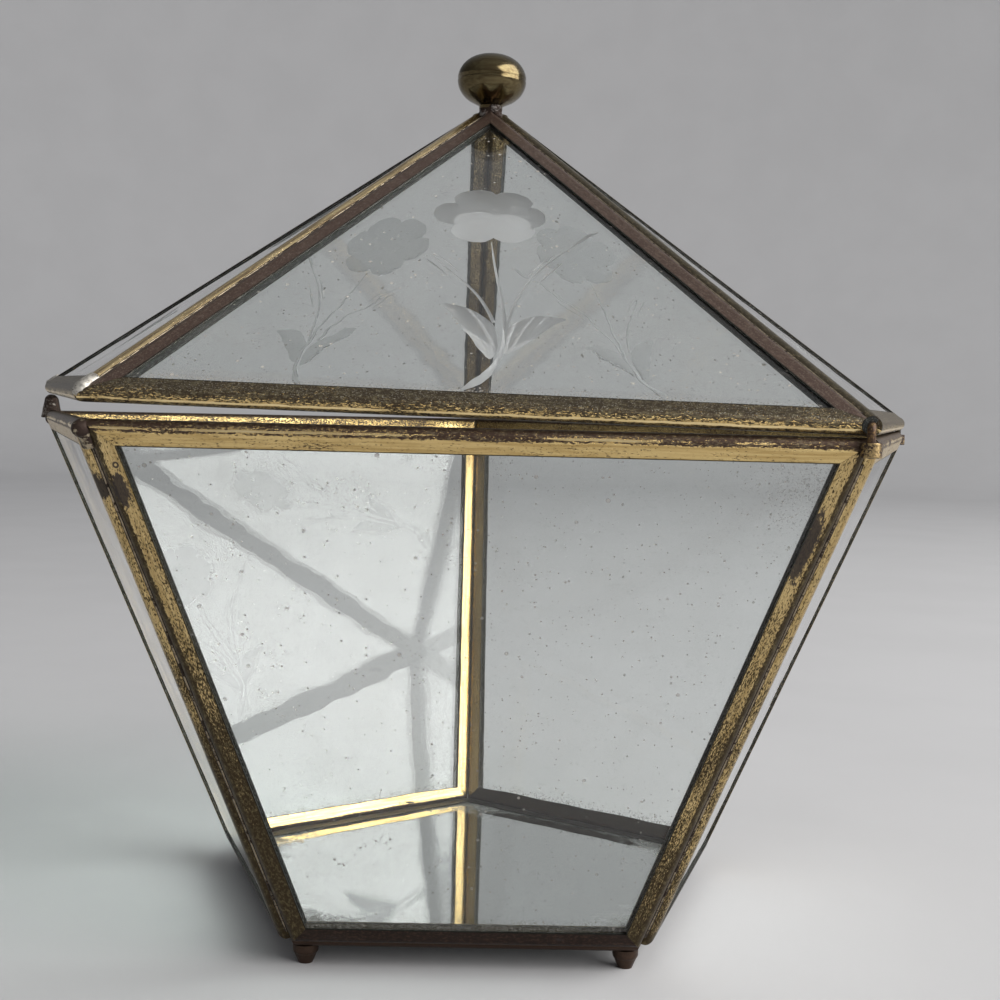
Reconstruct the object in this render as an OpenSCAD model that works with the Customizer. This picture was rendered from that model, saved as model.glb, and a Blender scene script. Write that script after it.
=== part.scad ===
// Five-sided glass casket: flared glass walls on a mirror floor, and a hinged pyramid lid.
// Every pane is edged with folded brass channel (came), and the channels are soldered edge to edge.
// +Z is up, -Y is the front. The origin lies under the middle of the outline, where the feet stand.
// A panel is drawn flat: its outer face at z = 0, its thickness below, x along its foot, y up its slope.

/* [Body] */
// Side of the outline at the rim, across the walls' outer faces
rim_side = 82; // [70:1:96]
// Side of the outline at the floor, across the walls' outer faces
floor_side = 43.6; // [36:0.2:52]
// Height of the walls, from the floor's underside to the rim
body_h = 64; // [52:1:80]

/* [Lid] */
// Slope of the lid's panes above the level
lid_slope = 36; // [30:1:44]
// How far the lid's eaves stand in from the outline of the rim
lid_inset = 0.3; // [0:0.1:1]
// Space between the rim and the eaves with the lid right down
lid_gap = 0.2; // [0.15:0.05:0.4]
// How far the lid stands open while it lies on its rest bead
lid_ajar = 1.1; // [0.8:0.1:2]

/* [Panes and came] */
// Thickness of the glass and of the floor's mirror
glass_t = 1.5; // [1.3:0.1:2.2]
// Space between glass and brass, on each face and at the edge
glass_gap = 0.05; // [0.03:0.01:0.1]
// Thickness of the folded brass strip
came_wall = 0.2; // [0.15:0.05:0.3]
// Width of the channel across its face
came_w = 2.5; // [2.3:0.1:3.5]
// Hairline left between two mitred ends, measured along the channel
mitre_gap = 0.04; // [0.02:0.01:0.1]

/* [Solder] */
// Space left between the backs of two channels that are soldered together
seam_gap = 0.04; // [0.02:0.01:0.1]
// Depth of solder in the groove between two channel backs
seam_depth = 0.7; // [0.5:0.05:0.85]
// Radius of the beads on the corners of the rim and the eaves
bead_r = 1.1; // [0.9:0.1:1.4]

/* [Hinge] */
// Diameter of the hinge wire
wire_d = 0.9; // [0.7:0.05:0.95]
// Running clearance around the wire, on the radius
wire_fit = 0.05; // [0.03:0.01:0.08]
// Radius of the bend at each end of the wire
wire_bend_r = 0.6; // [0.5:0.05:0.9]
// Space between the barrel's ends and the wire's bends
wire_end_gap = 0.2; // [0.1:0.05:0.5]
// How far the wire's legs reach below the rim
wire_leg = 1.6; // [1.2:0.1:2.5]

/* [Knob] */
// Diameter of the flattened ball
knob_d = 9.5; // [7:0.5:14]
// Height of the flattened ball
knob_h = 7.7; // [5.5:0.1:9]
// Diameter of the neck under the ball
neck_d = 3.8; // [2.5:0.1:5]
// Height of the neck between the solder and the ball
neck_h = 0.2; // [0.1:0.1:3]
// Radius of the solder cone round the lid's peak
peak_r = 3.1; // [2.7:0.1:5]

/* [Rest bead] */
// Radius of the drop of solder that the lid lies on
rest_r = 1.1; // [0.9:0.1:1.2]
// Space between that drop and the lid's corner
rest_gap = 0.08; // [0.05:0.01:0.2]

/* [Feet] */
// Largest diameter of a foot
foot_d = 3.2; // [2.4:0.1:5]
// Height of a foot
foot_h = 2.4; // [1.5:0.1:4]
// Diameter of the flat that a foot stands on
foot_flat_d = 1.8; // [1.2:0.1:2.3]
// How far a foot's centre lies in from the corner of the floor
foot_inset = 3.6; // [3:0.1:6]

/* [Hidden] */
SIDE = ["front", "right", "back_right", "back_left", "left"];
EDGES = ["_bottom_came", "_right_came", "_top_came", "_left_came"];
LID_EDGES = ["_eave_came", "_right_hip_came", "_left_hip_came"];

$fn = 64;
sides = 5;
turn = 360 / sides;
hinge_side = 1;
rest_corner = 3;
// The corners away from the hinge; corner i lies between side i and the next
FREE_CORNERS = [for (i = [0 : sides - 1]) if (i != hinge_side && i != hinge_side - 1) i];

brass = "#a8873f";
aged_brass = "#6f5a30";
glass_tint = [0.80, 0.86, 0.84, 0.35];
mirror_tint = "#c9cfd0";
solder_grey = "#77736a";

// Channel: thickness over both faces, and the radius of its folded back
came_t = glass_t + 2 * (glass_gap + came_wall);
came_r = came_t / 2;
glass_inset = came_r + glass_gap;
// Past every cut, so that no cut ends on a face
over = 2;
// How far pieces that are joined, or cut away together, run into each other
weld = 0.02;
// Turn of a round about its own axis, so that its seam doesn't lie along a mitre
skew = 25;

// Distance from the centre of the plan to the middle of a side, and to a corner
function apothem(side) = side / (2 * tan(turn / 2));
function corner_r(side) = side / (2 * sin(turn / 2));

// How far a channel's back lies in from the edge where two outer faces would meet.
// half_turn is half the angle between the two faces' normals.
function back_inset(half_turn) = (came_r * (1 + sin(half_turn)) + seam_gap / 2) / cos(half_turn) - came_r;
// The same against a level plane that the rounded back only touches, at an inner angle to the face
function free_inset(inner_angle) = came_r / tan(inner_angle / 2) - came_r;

// Walls
wall_run = apothem(rim_side) - apothem(floor_side);
wall_tilt = atan(wall_run / body_h);
wall_slant = norm([wall_run, body_h]);
post_turn = acos(cos(turn) * pow(cos(wall_tilt), 2) + pow(sin(wall_tilt), 2)) / 2;
floor_turn = (90 - wall_tilt) / 2;
post_inset = back_inset(post_turn);
floor_inset = back_inset(floor_turn);
rim_inset = free_inset(90 - wall_tilt);
wall_lean = atan((rim_side - floor_side) / 2 / wall_slant);
rim_z = foot_h + body_h;
// Way up a post to its foot and to the middle of the rim's channels
post_low = (floor_inset + came_r) / cos(wall_lean);
post_high = (wall_slant - rim_inset - came_r) / cos(wall_lean);

// Lid, measured on its outer faces carried down to the level of its eaves
eave_inset = free_inset(lid_slope);
eave_apothem = apothem(rim_side) - lid_inset;
lid_apothem = eave_apothem + eave_inset;
lid_base = lid_apothem * 2 * tan(turn / 2);
lid_h = lid_apothem * tan(lid_slope);
lid_slant = lid_apothem / cos(lid_slope);
hip_turn = acos(cos(turn) * pow(sin(lid_slope), 2) + pow(cos(lid_slope), 2)) / 2;
hip_inset = back_inset(hip_turn);
hip_lean = atan(lid_base / 2 / lid_slant);
lid_z = rim_z + lid_gap;
// Way down a hip to the middle of the eave's channels
hip_low = (lid_slant - eave_inset - came_r) / cos(hip_lean);

// Hinge: the wire runs through the rounded back of the right eave, which is a tube
wire_r = wire_d / 2;
bore_r = wire_r + wire_fit;
axis_apothem = eave_apothem - came_r;
axis_z = lid_z + came_r;
hinge_azimuth = hinge_side * turn - 90;
barrel_core = bore_r + came_wall;
barrel_half = axis_apothem * tan(turn / 2) + came_r / sin(turn);
leg_at = barrel_half + wire_end_gap + wire_bend_r;

// The plan's centre stands this far in front of the outline's middle
plan_shift = (eave_apothem / cos(turn / 2) - eave_apothem) / 2;

// Outline of a wall's came, or of anything that lies d further in
function wall_half(v, d) = floor_side / 2 + v * tan(wall_lean) - (post_inset + d) / cos(wall_lean);
function wall_outline(d) =
    let (low = floor_inset + d, high = wall_slant - rim_inset - d)
    let (foot = wall_half(low, d), head = wall_half(high, d))
    [[-foot, low], [foot, low], [head, high], [-head, high]];

// Outline of a lid pane's came, or of anything that lies d further in, and d + more at the eave
function lid_half(v, d) = (lid_base / 2) * (1 - v / lid_slant) - (hip_inset + d) / cos(hip_lean);
function lid_outline(d, more = 0) =
    let (low = eave_inset + d + more)
    [[-lid_half(low, d), low], [lid_half(low, d), low], [0, lid_half(0, d) / tan(hip_lean)]];

// Outline of the floor's came, or of anything that lies d further in
function floor_outline(d) =
    let (r = (apothem(floor_side) - floor_inset - d) / cos(turn / 2))
    [for (i = [0 : sides - 1]) r * [cos(turn * i - 90 - turn / 2), sin(turn * i - 90 - turn / 2)]];

// Centre line of a channel's back below the meeting edge of two outer faces
function back_depth(half_turn) = (back_inset(half_turn) + came_r) * sin(half_turn) + came_r * cos(half_turn);

// Places

module on_plan() translate([0, -plan_shift, 0]) children();

module wall_place(i)
    on_plan() rotate([0, 0, turn * i]) translate([0, -apothem(floor_side), foot_h])
    rotate([90 + wall_tilt, 0, 0]) children();

// The hinge line is y here, with x outwards from the plan's centre
module hinge_place() on_plan() rotate([0, 0, hinge_azimuth]) translate([axis_apothem, 0, axis_z]) children();

// Turns the lid about the hinge line to where it rests, from where it would be shut
module lid_rest()
    hinge_place() rotate([0, lid_ajar, 0]) translate([-axis_apothem, 0, -axis_z])
    rotate([0, 0, -hinge_azimuth]) children();

module lid_place(i)
    lid_rest() rotate([0, 0, turn * i]) translate([0, -lid_apothem, lid_z])
    rotate([lid_slope, 0, 0]) children();

// Along a corner post from the floor up: z up the post, x outwards
module post_place(i)
    on_plan() rotate([0, 0, turn * i - 90 + turn / 2]) translate([corner_r(floor_side), 0, foot_h])
    rotate([0, atan((corner_r(rim_side) - corner_r(floor_side)) / body_h), 0]) children();

// Along a hip from its peak down: z down the hip, x outwards
module hip_place(i)
    lid_rest() rotate([0, 0, turn * i - 90 + turn / 2]) translate([0, 0, lid_z + lid_h])
    rotate([0, 90 + atan(lid_h / corner_r(lid_base)), 0]) mirror([1, 0, 0]) children();

// Folded brass channel

module channel_section(r, reach)
    translate([came_r, -came_r]) {
        circle(r);
        translate([0, -r]) square([reach - came_r, 2 * r]);
    }

module solid_section() channel_section(came_r, came_w);

module came_section()
    difference() {
        solid_section();
        channel_section(came_r - came_wall, came_w + over);
    }

// Carries a section along side k of a panel, and cuts both ends to the mitre.
// outer and inner are the outlines of the channel's back and of its open edge.
module mitred(outer, inner, k, gap = mitre_gap / 2) {
    n = len(outer);
    a = outer[k];
    b = outer[(k + 1) % n];
    c = inner[(k + 1) % n];
    d = inner[k];
    end = gap * (b - a) / norm(b - a);
    intersection() {
        translate([0, 0, -came_t - over])
            linear_extrude(came_t + 2 * over)
                polygon([
                    a + (a - d) / 2 + end,
                    b + (b - c) / 2 - end,
                    c + (c - b) / 2 - end,
                    d + (d - a) / 2 + end
                ]);
        translate([a[0], a[1], 0])
            rotate([0, 0, atan2(b[1] - a[1], b[0] - a[0])])
                translate([-came_w, 0, 0])
                    rotate([90, 0, 90])
                        linear_extrude(norm(b - a) + 2 * came_w)
                            children();
    }
}

module pane(outline, t = glass_t) translate([0, 0, -came_r - t / 2]) linear_extrude(t) polygon(outline);

// Walls

module wall_glass(i) color(glass_tint) wall_place(i) pane(wall_outline(glass_inset));

// Side k of a wall: bottom, right, top, left
module wall_came(i, k)
    color(k == 0 ? aged_brass : brass)
    wall_place(i) mitred(wall_outline(0), wall_outline(came_w), k) came_section();

// Floor

module floor_face() on_plan() translate([0, 0, foot_h]) mirror([0, 0, 1]) children();

module mirror_floor() color(mirror_tint) floor_face() pane(floor_outline(glass_inset));

module floor_came()
    color(aged_brass) floor_face()
    for (k = [0 : sides - 1]) mitred(floor_outline(0), floor_outline(came_w), k) came_section();

// A turned foot with a round shoulder that tapers to a small flat
module foot() {
    shoulder = (foot_d - foot_flat_d) / 2;
    rotate_extrude() {
        square([foot_flat_d / 2, foot_h]);
        intersection() {
            translate([foot_flat_d / 2, foot_h - shoulder]) circle(shoulder);
            square([foot_d, foot_h - shoulder]);
        }
        translate([0, foot_h - shoulder]) square([foot_d / 2, shoulder]);
        polygon([[0, 0], [foot_flat_d / 2, 0], [foot_d / 2, foot_h - shoulder], [0, foot_h - shoulder]]);
    }
}

module feet()
    color(aged_brass) on_plan()
    for (i = [0 : sides - 1])
        rotate([0, 0, turn * i - 90 + turn / 2]) translate([corner_r(floor_side) - foot_inset, 0, 0]) foot();

// Lid

// The right pane stops short of the hinge's bore
module lid_glass(i)
    color(glass_tint) lid_place(i)
    pane(lid_outline(glass_inset, i == hinge_side ? barrel_core : 0));

// Room for the right pane in the hinge's channel, whose back is a solid round with the wire's bore
module hinge_slot()
    lid_place(hinge_side) pane(lid_outline(came_r, barrel_core), glass_t + 2 * glass_gap);

module hinge_round(length, r) hinge_place() rotate([90, 0, 0]) cylinder(h = length, r = r, center = true);

module hinge_cope() hinge_round(2 * barrel_half + over, came_r + seam_gap);

// Side k of a lid pane: eave, right hip, left hip. Channels that meet the hinge are coped round its barrel.
module lid_came(i, k) {
    color(k == 0 ? brass : aged_brass)
    if (i == hinge_side && k == 0) {
        difference() {
            union() {
                lid_place(i) mitred(lid_outline(0), lid_outline(came_w), k) solid_section();
                hinge_round(2 * barrel_half, came_r);
            }
            hinge_slot();
            hinge_bore();
        }
    } else {
        difference() {
            lid_place(i) mitred(lid_outline(0), lid_outline(came_w), k) came_section();
            if (abs(i - hinge_side) <= 1) hinge_cope();
        }
    }
}

module hinge_bore() hinge_round(2 * barrel_half + over, bore_r);

module knob() {
    bulge = knob_h / 2;
    color(brass) lid_rest() translate([0, 0, lid_z + lid_h])
    rotate_extrude() {
        square([neck_d / 2, neck_h + bulge]);
        translate([0, neck_h]) square([knob_d / 2 - bulge, knob_h]);
        intersection() {
            translate([knob_d / 2 - bulge, neck_h + bulge]) circle(bulge);
            square([knob_d, neck_h + knob_h]);
        }
    }
}

// Hinge wire: straight through the barrel, with a leg bent down at each end

// The bend is drawn a little thicker than the straight stretches that run into it
module wire_end() {
    translate([0, leg_at - wire_bend_r, 0]) {
        translate([0, 0, -wire_bend_r])
            rotate([90, 0, 90])
                rotate_extrude(angle = 90) translate([wire_bend_r, 0]) circle(wire_r + weld / 2);
        translate([0, wire_bend_r, rim_z - axis_z - wire_leg])
            cylinder(h = axis_z - rim_z + wire_leg - wire_bend_r + weld, r = wire_r);
    }
}

module wire_shape() {
    hinge_place() {
        rotate([90, 0, 0]) cylinder(h = 2 * (leg_at - wire_bend_r + weld), r = wire_r, center = true);
        wire_end();
        mirror([0, 1, 0]) wire_end();
    }
}

module hinge_wire() color(aged_brass) wire_shape();

// Solder

// Section of solder between two channel backs: what they leave of the shape it is cut from.
// x runs outwards here from the middle of the backs.
module groove(half_turn) {
    r = came_r + seam_gap / 4;
    difference() {
        intersection() {
            children();
            translate([0, -came_w]) square(2 * came_w);
        }
        for (side = [-1, 1])
            translate([0, side * (came_r + seam_gap / 2)]) {
                circle(r);
                rotate(side * (90 + half_turn)) translate([0, -r]) square([came_w, 2 * r]);
            }
    }
}

// Fills the groove along a stretch of the edge between two panels, z along it, x outwards
module seam(half_turn, from, to)
    translate([-back_depth(half_turn), 0, from])
        linear_extrude(to - from)
            groove(half_turn) translate([0, -came_r]) square([came_r * seam_depth, 2 * came_r]);

// A thicker lump where a seam ends at a corner
module bead(half_turn, from)
    translate([-back_depth(half_turn), 0, from])
        linear_extrude(2 * bead_r)
            groove(half_turn) translate([came_r / 2, 0]) circle(bead_r);

module post_seam(i) post_place(i) seam(post_turn, post_low, post_high - 2 * bead_r);

module post_solder() color(solder_grey) for (i = [0 : sides - 1]) post_seam(i);

module base_solder() {
    reach = wall_half(floor_inset, 0) - came_r;
    color(solder_grey) on_plan()
    for (i = [0 : sides - 1])
        rotate([0, 0, turn * i]) translate([0, -apothem(floor_side), foot_h])
        rotate([-floor_turn, 0, 0]) rotate([0, 90, 0]) seam(floor_turn, -reach, reach);
}

// The channels that meet at corner i of the rim, between wall i and the next one, without their slots
module rim_corner_brass(i)
    for (at = [[i, 1], [i, 2], [i + 1, 2], [i + 1, 3]])
        wall_place(at[0]) mitred(wall_outline(0), wall_outline(came_w), at[1], -weld) solid_section();

module rim_bead(i) post_place(i) bead(post_turn, post_high - 2 * bead_r);

module rim_solder() color(solder_grey) for (i = FREE_CORNERS) rim_bead(i);

// Holds the wire's legs to the two corners of the rim beside the hinge
module hinge_solder()
    color(solder_grey)
    for (end = [0, 1])
        difference() {
            hinge_place() mirror([0, 1 - end, 0])
                translate([0, leg_at - bead_r / 2, rim_z - axis_z - wire_leg - wire_r])
                rotate([0, 0, skew]) cylinder(h = wire_leg, r = bead_r);
            rim_corner_brass(hinge_side - 1 + end);
            wire_shape();
        }

// A drop of solder on the rim's far corner, which the lid's corner lies on
module lid_rest_bead() {
    reach = axis_apothem * (1 + 1 / cos(turn / 2));
    rise = lid_gap + reach * sin(lid_ajar) - rest_gap;
    foot_r = bead_r + came_r / 2;
    dome = [for (a = [90 : -15 : 15]) rest_r * [sin(a), cos(a)]];
    top = [0, rest_r * cos(15)];
    color(solder_grey)
    difference() {
        on_plan() rotate([0, 0, turn * rest_corner - 90 + turn / 2])
            translate([axis_apothem / cos(turn / 2), 0, rim_z + rise - rest_r])
            rotate([0, 0, skew]) rotate_extrude() polygon(concat([[0, -rise], [foot_r, -rise]], dome, [top]));
        rim_corner_brass(rest_corner);
        rim_bead(rest_corner);
    }
}

module hip_seam(i)
    difference() {
        hip_place(i) seam(hip_turn, 2 * came_r, hip_low - 2 * bead_r);
        if (i == hinge_side || i == hinge_side - 1) hinge_cope();
    }

module hip_solder() color(solder_grey) for (i = [0 : sides - 1]) hip_seam(i);

module eave_solder()
    color(solder_grey) for (i = FREE_CORNERS) hip_place(i) bead(hip_turn, hip_low - 2 * bead_r);

// A cone round the peak, seated on the outer faces of the panes
module peak_solder() {
    fall = peak_r * tan(lid_slope);
    color(solder_grey)
    difference() {
        lid_rest() translate([0, 0, lid_z + lid_h - fall]) cylinder(h = fall, r1 = peak_r, r2 = neck_d / 2);
        intersection_for (i = [0 : sides - 1])
            lid_place(i) translate([-lid_base, 0, -lid_slant]) cube([2 * lid_base, 2 * lid_slant, lid_slant]);
    }
}

for (i = [0 : sides - 1]) {
    wall_glass(i);
    lid_glass(i);
    for (k = [0 : 3]) wall_came(i, k);
    for (k = [0 : 2]) lid_came(i, k);
}
mirror_floor();
floor_came();
feet();
post_solder();
base_solder();
rim_solder();
hinge_wire();
hinge_solder();
lid_rest_bead();
hip_solder();
eave_solder();
peak_solder();
knob();
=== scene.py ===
"""Looks of the glass casket box: its finishes, engraved lid, turned knob, solder work and studio.

Lengths are millimetres, and a finished piece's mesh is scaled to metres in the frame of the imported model.
"""

import sys

import logging
import math
import random
from contextlib import contextmanager
from dataclasses import dataclass, replace
from enum import Enum
from functools import cached_property
from typing import Any, Callable, ClassVar, Iterator, Mapping, Optional, Sequence, Union

import bmesh
import bpy
from mathutils import Matrix, Vector

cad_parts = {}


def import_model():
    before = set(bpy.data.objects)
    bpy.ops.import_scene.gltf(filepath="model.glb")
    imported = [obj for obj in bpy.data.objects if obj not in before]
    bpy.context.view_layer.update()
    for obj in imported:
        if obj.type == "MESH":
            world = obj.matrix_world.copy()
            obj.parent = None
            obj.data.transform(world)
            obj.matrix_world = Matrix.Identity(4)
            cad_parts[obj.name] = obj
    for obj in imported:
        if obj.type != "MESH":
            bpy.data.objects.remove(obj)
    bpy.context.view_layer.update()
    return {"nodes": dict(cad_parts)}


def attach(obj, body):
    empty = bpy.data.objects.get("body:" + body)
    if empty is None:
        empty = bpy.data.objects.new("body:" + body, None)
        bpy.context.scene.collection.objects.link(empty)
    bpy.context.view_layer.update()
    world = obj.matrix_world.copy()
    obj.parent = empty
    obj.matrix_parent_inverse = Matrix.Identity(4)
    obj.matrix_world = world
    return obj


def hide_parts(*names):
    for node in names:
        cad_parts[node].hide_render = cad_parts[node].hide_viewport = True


LOG = logging.getLogger("casket")
MM = 0.001
Value = Union[float, Sequence[float], bpy.types.NodeSocket]
Point = tuple[float, float]
Color = tuple[float, float, float, float]


class Side(Enum):
    """The five sides of the casket, counted from the front."""

    FRONT = 0
    RIGHT = 1
    BACK_RIGHT = 2
    BACK_LEFT = 3
    LEFT = 4

    @property
    def label(self) -> str:
        """Name of the side in the names of its nodes."""
        return self.name.lower()


class Body(Enum):
    """The bodies that a piece can ride on."""

    BOX = "box"
    LID = "lid"


class Slot(Enum):
    """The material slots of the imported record."""

    CLEAR_GLASS = "clear_glass"
    MIRROR_GLASS = "mirror_glass"
    BRASS = "brass"
    DARK_BRASS = "dark_brass"
    SOLDER = "solder"


# ---- Sizes and places


@dataclass(frozen=True)
class Came:
    """One length of folded brass channel, with x along it, y in from its back and z outwards."""

    node: str
    place: Matrix
    length: float


@dataclass(frozen=True)
class Casket:
    """Sizes of the casket, and where its panels lie.

    A panel is flat in its own frame: outer face at z = 0, x along its foot, y up its slope.
    """

    rim_side: float = 82.0
    floor_side: float = 43.6
    body_h: float = 64.0
    lid_slope: float = 36.0
    lid_inset: float = 0.3
    lid_gap: float = 0.2
    lid_ajar: float = 1.1
    glass_t: float = 1.5
    glass_gap: float = 0.05
    came_t: float = 2.0
    came_w: float = 2.5
    seam_gap: float = 0.04
    foot_h: float = 2.4

    @staticmethod
    def apothem(side: float) -> float:
        """Distance from the centre of the plan to the middle of a side."""
        return side / (2 * math.tan(math.radians(36)))

    @property
    def came_r(self) -> float:
        """Radius of a channel's folded back."""
        return self.came_t / 2

    def back_inset(self, half_turn: float) -> float:
        """How far a channel's back lies in from the edge where two outer faces would meet."""
        return (self.came_r * (1 + math.sin(half_turn)) + self.seam_gap / 2) / math.cos(half_turn) - self.came_r

    def free_inset(self, inner_angle: float) -> float:
        """How far a channel's back lies in from a level plane that it only touches."""
        return self.came_r / math.tan(inner_angle / 2) - self.came_r

    @cached_property
    def wall_tilt(self) -> float:
        """Lean of a wall out of the upright, in radians."""
        return math.atan((self.apothem(self.rim_side) - self.apothem(self.floor_side)) / self.body_h)

    @cached_property
    def wall_slant(self) -> float:
        """Length of a wall up its slope."""
        return self.body_h / math.cos(self.wall_tilt)

    @cached_property
    def wall_lean(self) -> float:
        """Lean of a corner post within a wall, in radians."""
        return math.atan((self.rim_side - self.floor_side) / 2 / self.wall_slant)

    @cached_property
    def rim_z(self) -> float:
        """Height of the rim."""
        return self.foot_h + self.body_h

    @cached_property
    def eave_apothem(self) -> float:
        """Distance from the centre of the plan to the lid's eaves."""
        return self.apothem(self.rim_side) - self.lid_inset

    @cached_property
    def lid_apothem(self) -> float:
        """The same for the lid's outer faces, carried down to the eaves' level."""
        return self.eave_apothem + self.free_inset(math.radians(self.lid_slope))

    @cached_property
    def lid_base(self) -> float:
        """Length of a lid pane's foot, carried out to the corners."""
        return 2 * self.lid_apothem * math.tan(math.radians(36))

    @cached_property
    def lid_slant(self) -> float:
        """Length of a lid pane up its slope."""
        return self.lid_apothem / math.cos(math.radians(self.lid_slope))

    @cached_property
    def lid_h(self) -> float:
        """Height of the peak of the lid's outer faces above the eaves."""
        return self.lid_apothem * math.tan(math.radians(self.lid_slope))

    @cached_property
    def lid_z(self) -> float:
        """Height of the eaves' underside with the lid right down."""
        return self.rim_z + self.lid_gap

    @cached_property
    def plan(self) -> Matrix:
        """Frame of the plan's centre."""
        cos = math.cos(math.radians(36))
        return Matrix.Translation((0, -(self.eave_apothem / cos - self.eave_apothem) / 2, 0))

    @cached_property
    def lid_rest(self) -> Matrix:
        """Turn of the lid about the hinge to where it lies on its rest bead, from the plan's frame."""
        azimuth = Matrix.Rotation(math.radians(72 - 90), 4, "Z")
        reach = Matrix.Translation((self.eave_apothem - self.came_r, 0, self.lid_z + self.came_r))
        hinge = azimuth @ reach
        return self.plan @ hinge @ Matrix.Rotation(math.radians(self.lid_ajar), 4, "Y") @ hinge.inverted()

    def wall_place(self, side: Side) -> Matrix:
        """Frame of a wall."""
        return (
            self.plan
            @ Matrix.Rotation(math.radians(72 * side.value), 4, "Z")
            @ Matrix.Translation((0, -self.apothem(self.floor_side), self.foot_h))
            @ Matrix.Rotation(math.radians(90) + self.wall_tilt, 4, "X")
        )

    def lid_place(self, side: Side) -> Matrix:
        """Frame of a lid pane with the lid at rest."""
        return (
            self.lid_rest
            @ Matrix.Rotation(math.radians(72 * side.value), 4, "Z")
            @ Matrix.Translation((0, -self.lid_apothem, self.lid_z))
            @ Matrix.Rotation(math.radians(self.lid_slope), 4, "X")
        )

    def wall_outline(self) -> list[Point]:
        """Outline of a wall's channels."""
        flat = math.sin(math.radians(36)) * math.cos(self.wall_tilt)
        post = self.back_inset(math.asin(flat))
        low = self.back_inset((math.pi / 2 - self.wall_tilt) / 2)
        high = self.wall_slant - self.free_inset(math.pi / 2 - self.wall_tilt)
        half = [self.floor_side / 2 + v * math.tan(self.wall_lean) - post / math.cos(self.wall_lean) for v in (low, high)]
        return [(-half[0], low), (half[0], low), (half[1], high), (-half[1], high)]

    def lid_outline(self) -> list[Point]:
        """Outline of a lid pane's channels."""
        hip = self.back_inset(math.asin(math.sin(math.radians(36)) * math.sin(math.radians(self.lid_slope))))
        lean = math.atan(self.lid_base / 2 / self.lid_slant)
        low = self.free_inset(math.radians(self.lid_slope))
        half = self.lid_base / 2 * (1 - low / self.lid_slant) - hip / math.cos(lean)
        peak = (self.lid_base / 2 - hip / math.cos(lean)) / math.tan(lean)
        return [(-half, low), (half, low), (0, peak)]

    @staticmethod
    def _along(node: str, panel: Matrix, a: Point, b: Point) -> Came:
        """Channel of a node that runs from a to b in a panel."""
        start, end = Vector((*a, 0)), Vector((*b, 0))
        turn = math.atan2(end.y - start.y, end.x - start.x)
        place = panel @ Matrix.Translation((start + end) / 2) @ Matrix.Rotation(turn, 4, "Z")
        return Came(node, place, (end - start).length)

    def wall_cames(self, side: Side) -> dict[str, Came]:
        """Channels round a wall, by the edge that they hold."""
        ring, panel = self.wall_outline(), self.wall_place(side)
        edges = ("bottom", "right", "top", "left")
        return {
            e: self._along(f"{side.label}_{e}_came", panel, ring[k], ring[(k + 1) % 4]) for k, e in enumerate(edges)
        }

    def lid_cames(self, side: Side) -> dict[str, Came]:
        """Channels round a lid pane, by the edge that they hold."""
        ring, panel = self.lid_outline(), self.lid_place(side)
        edges = ("eave", "right_hip", "left_hip")
        return {
            e: self._along(f"lid_{side.label}_{e}_came", panel, ring[k], ring[(k + 1) % 3])
            for k, e in enumerate(edges)
        }


# ---- Modelling by hand


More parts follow.
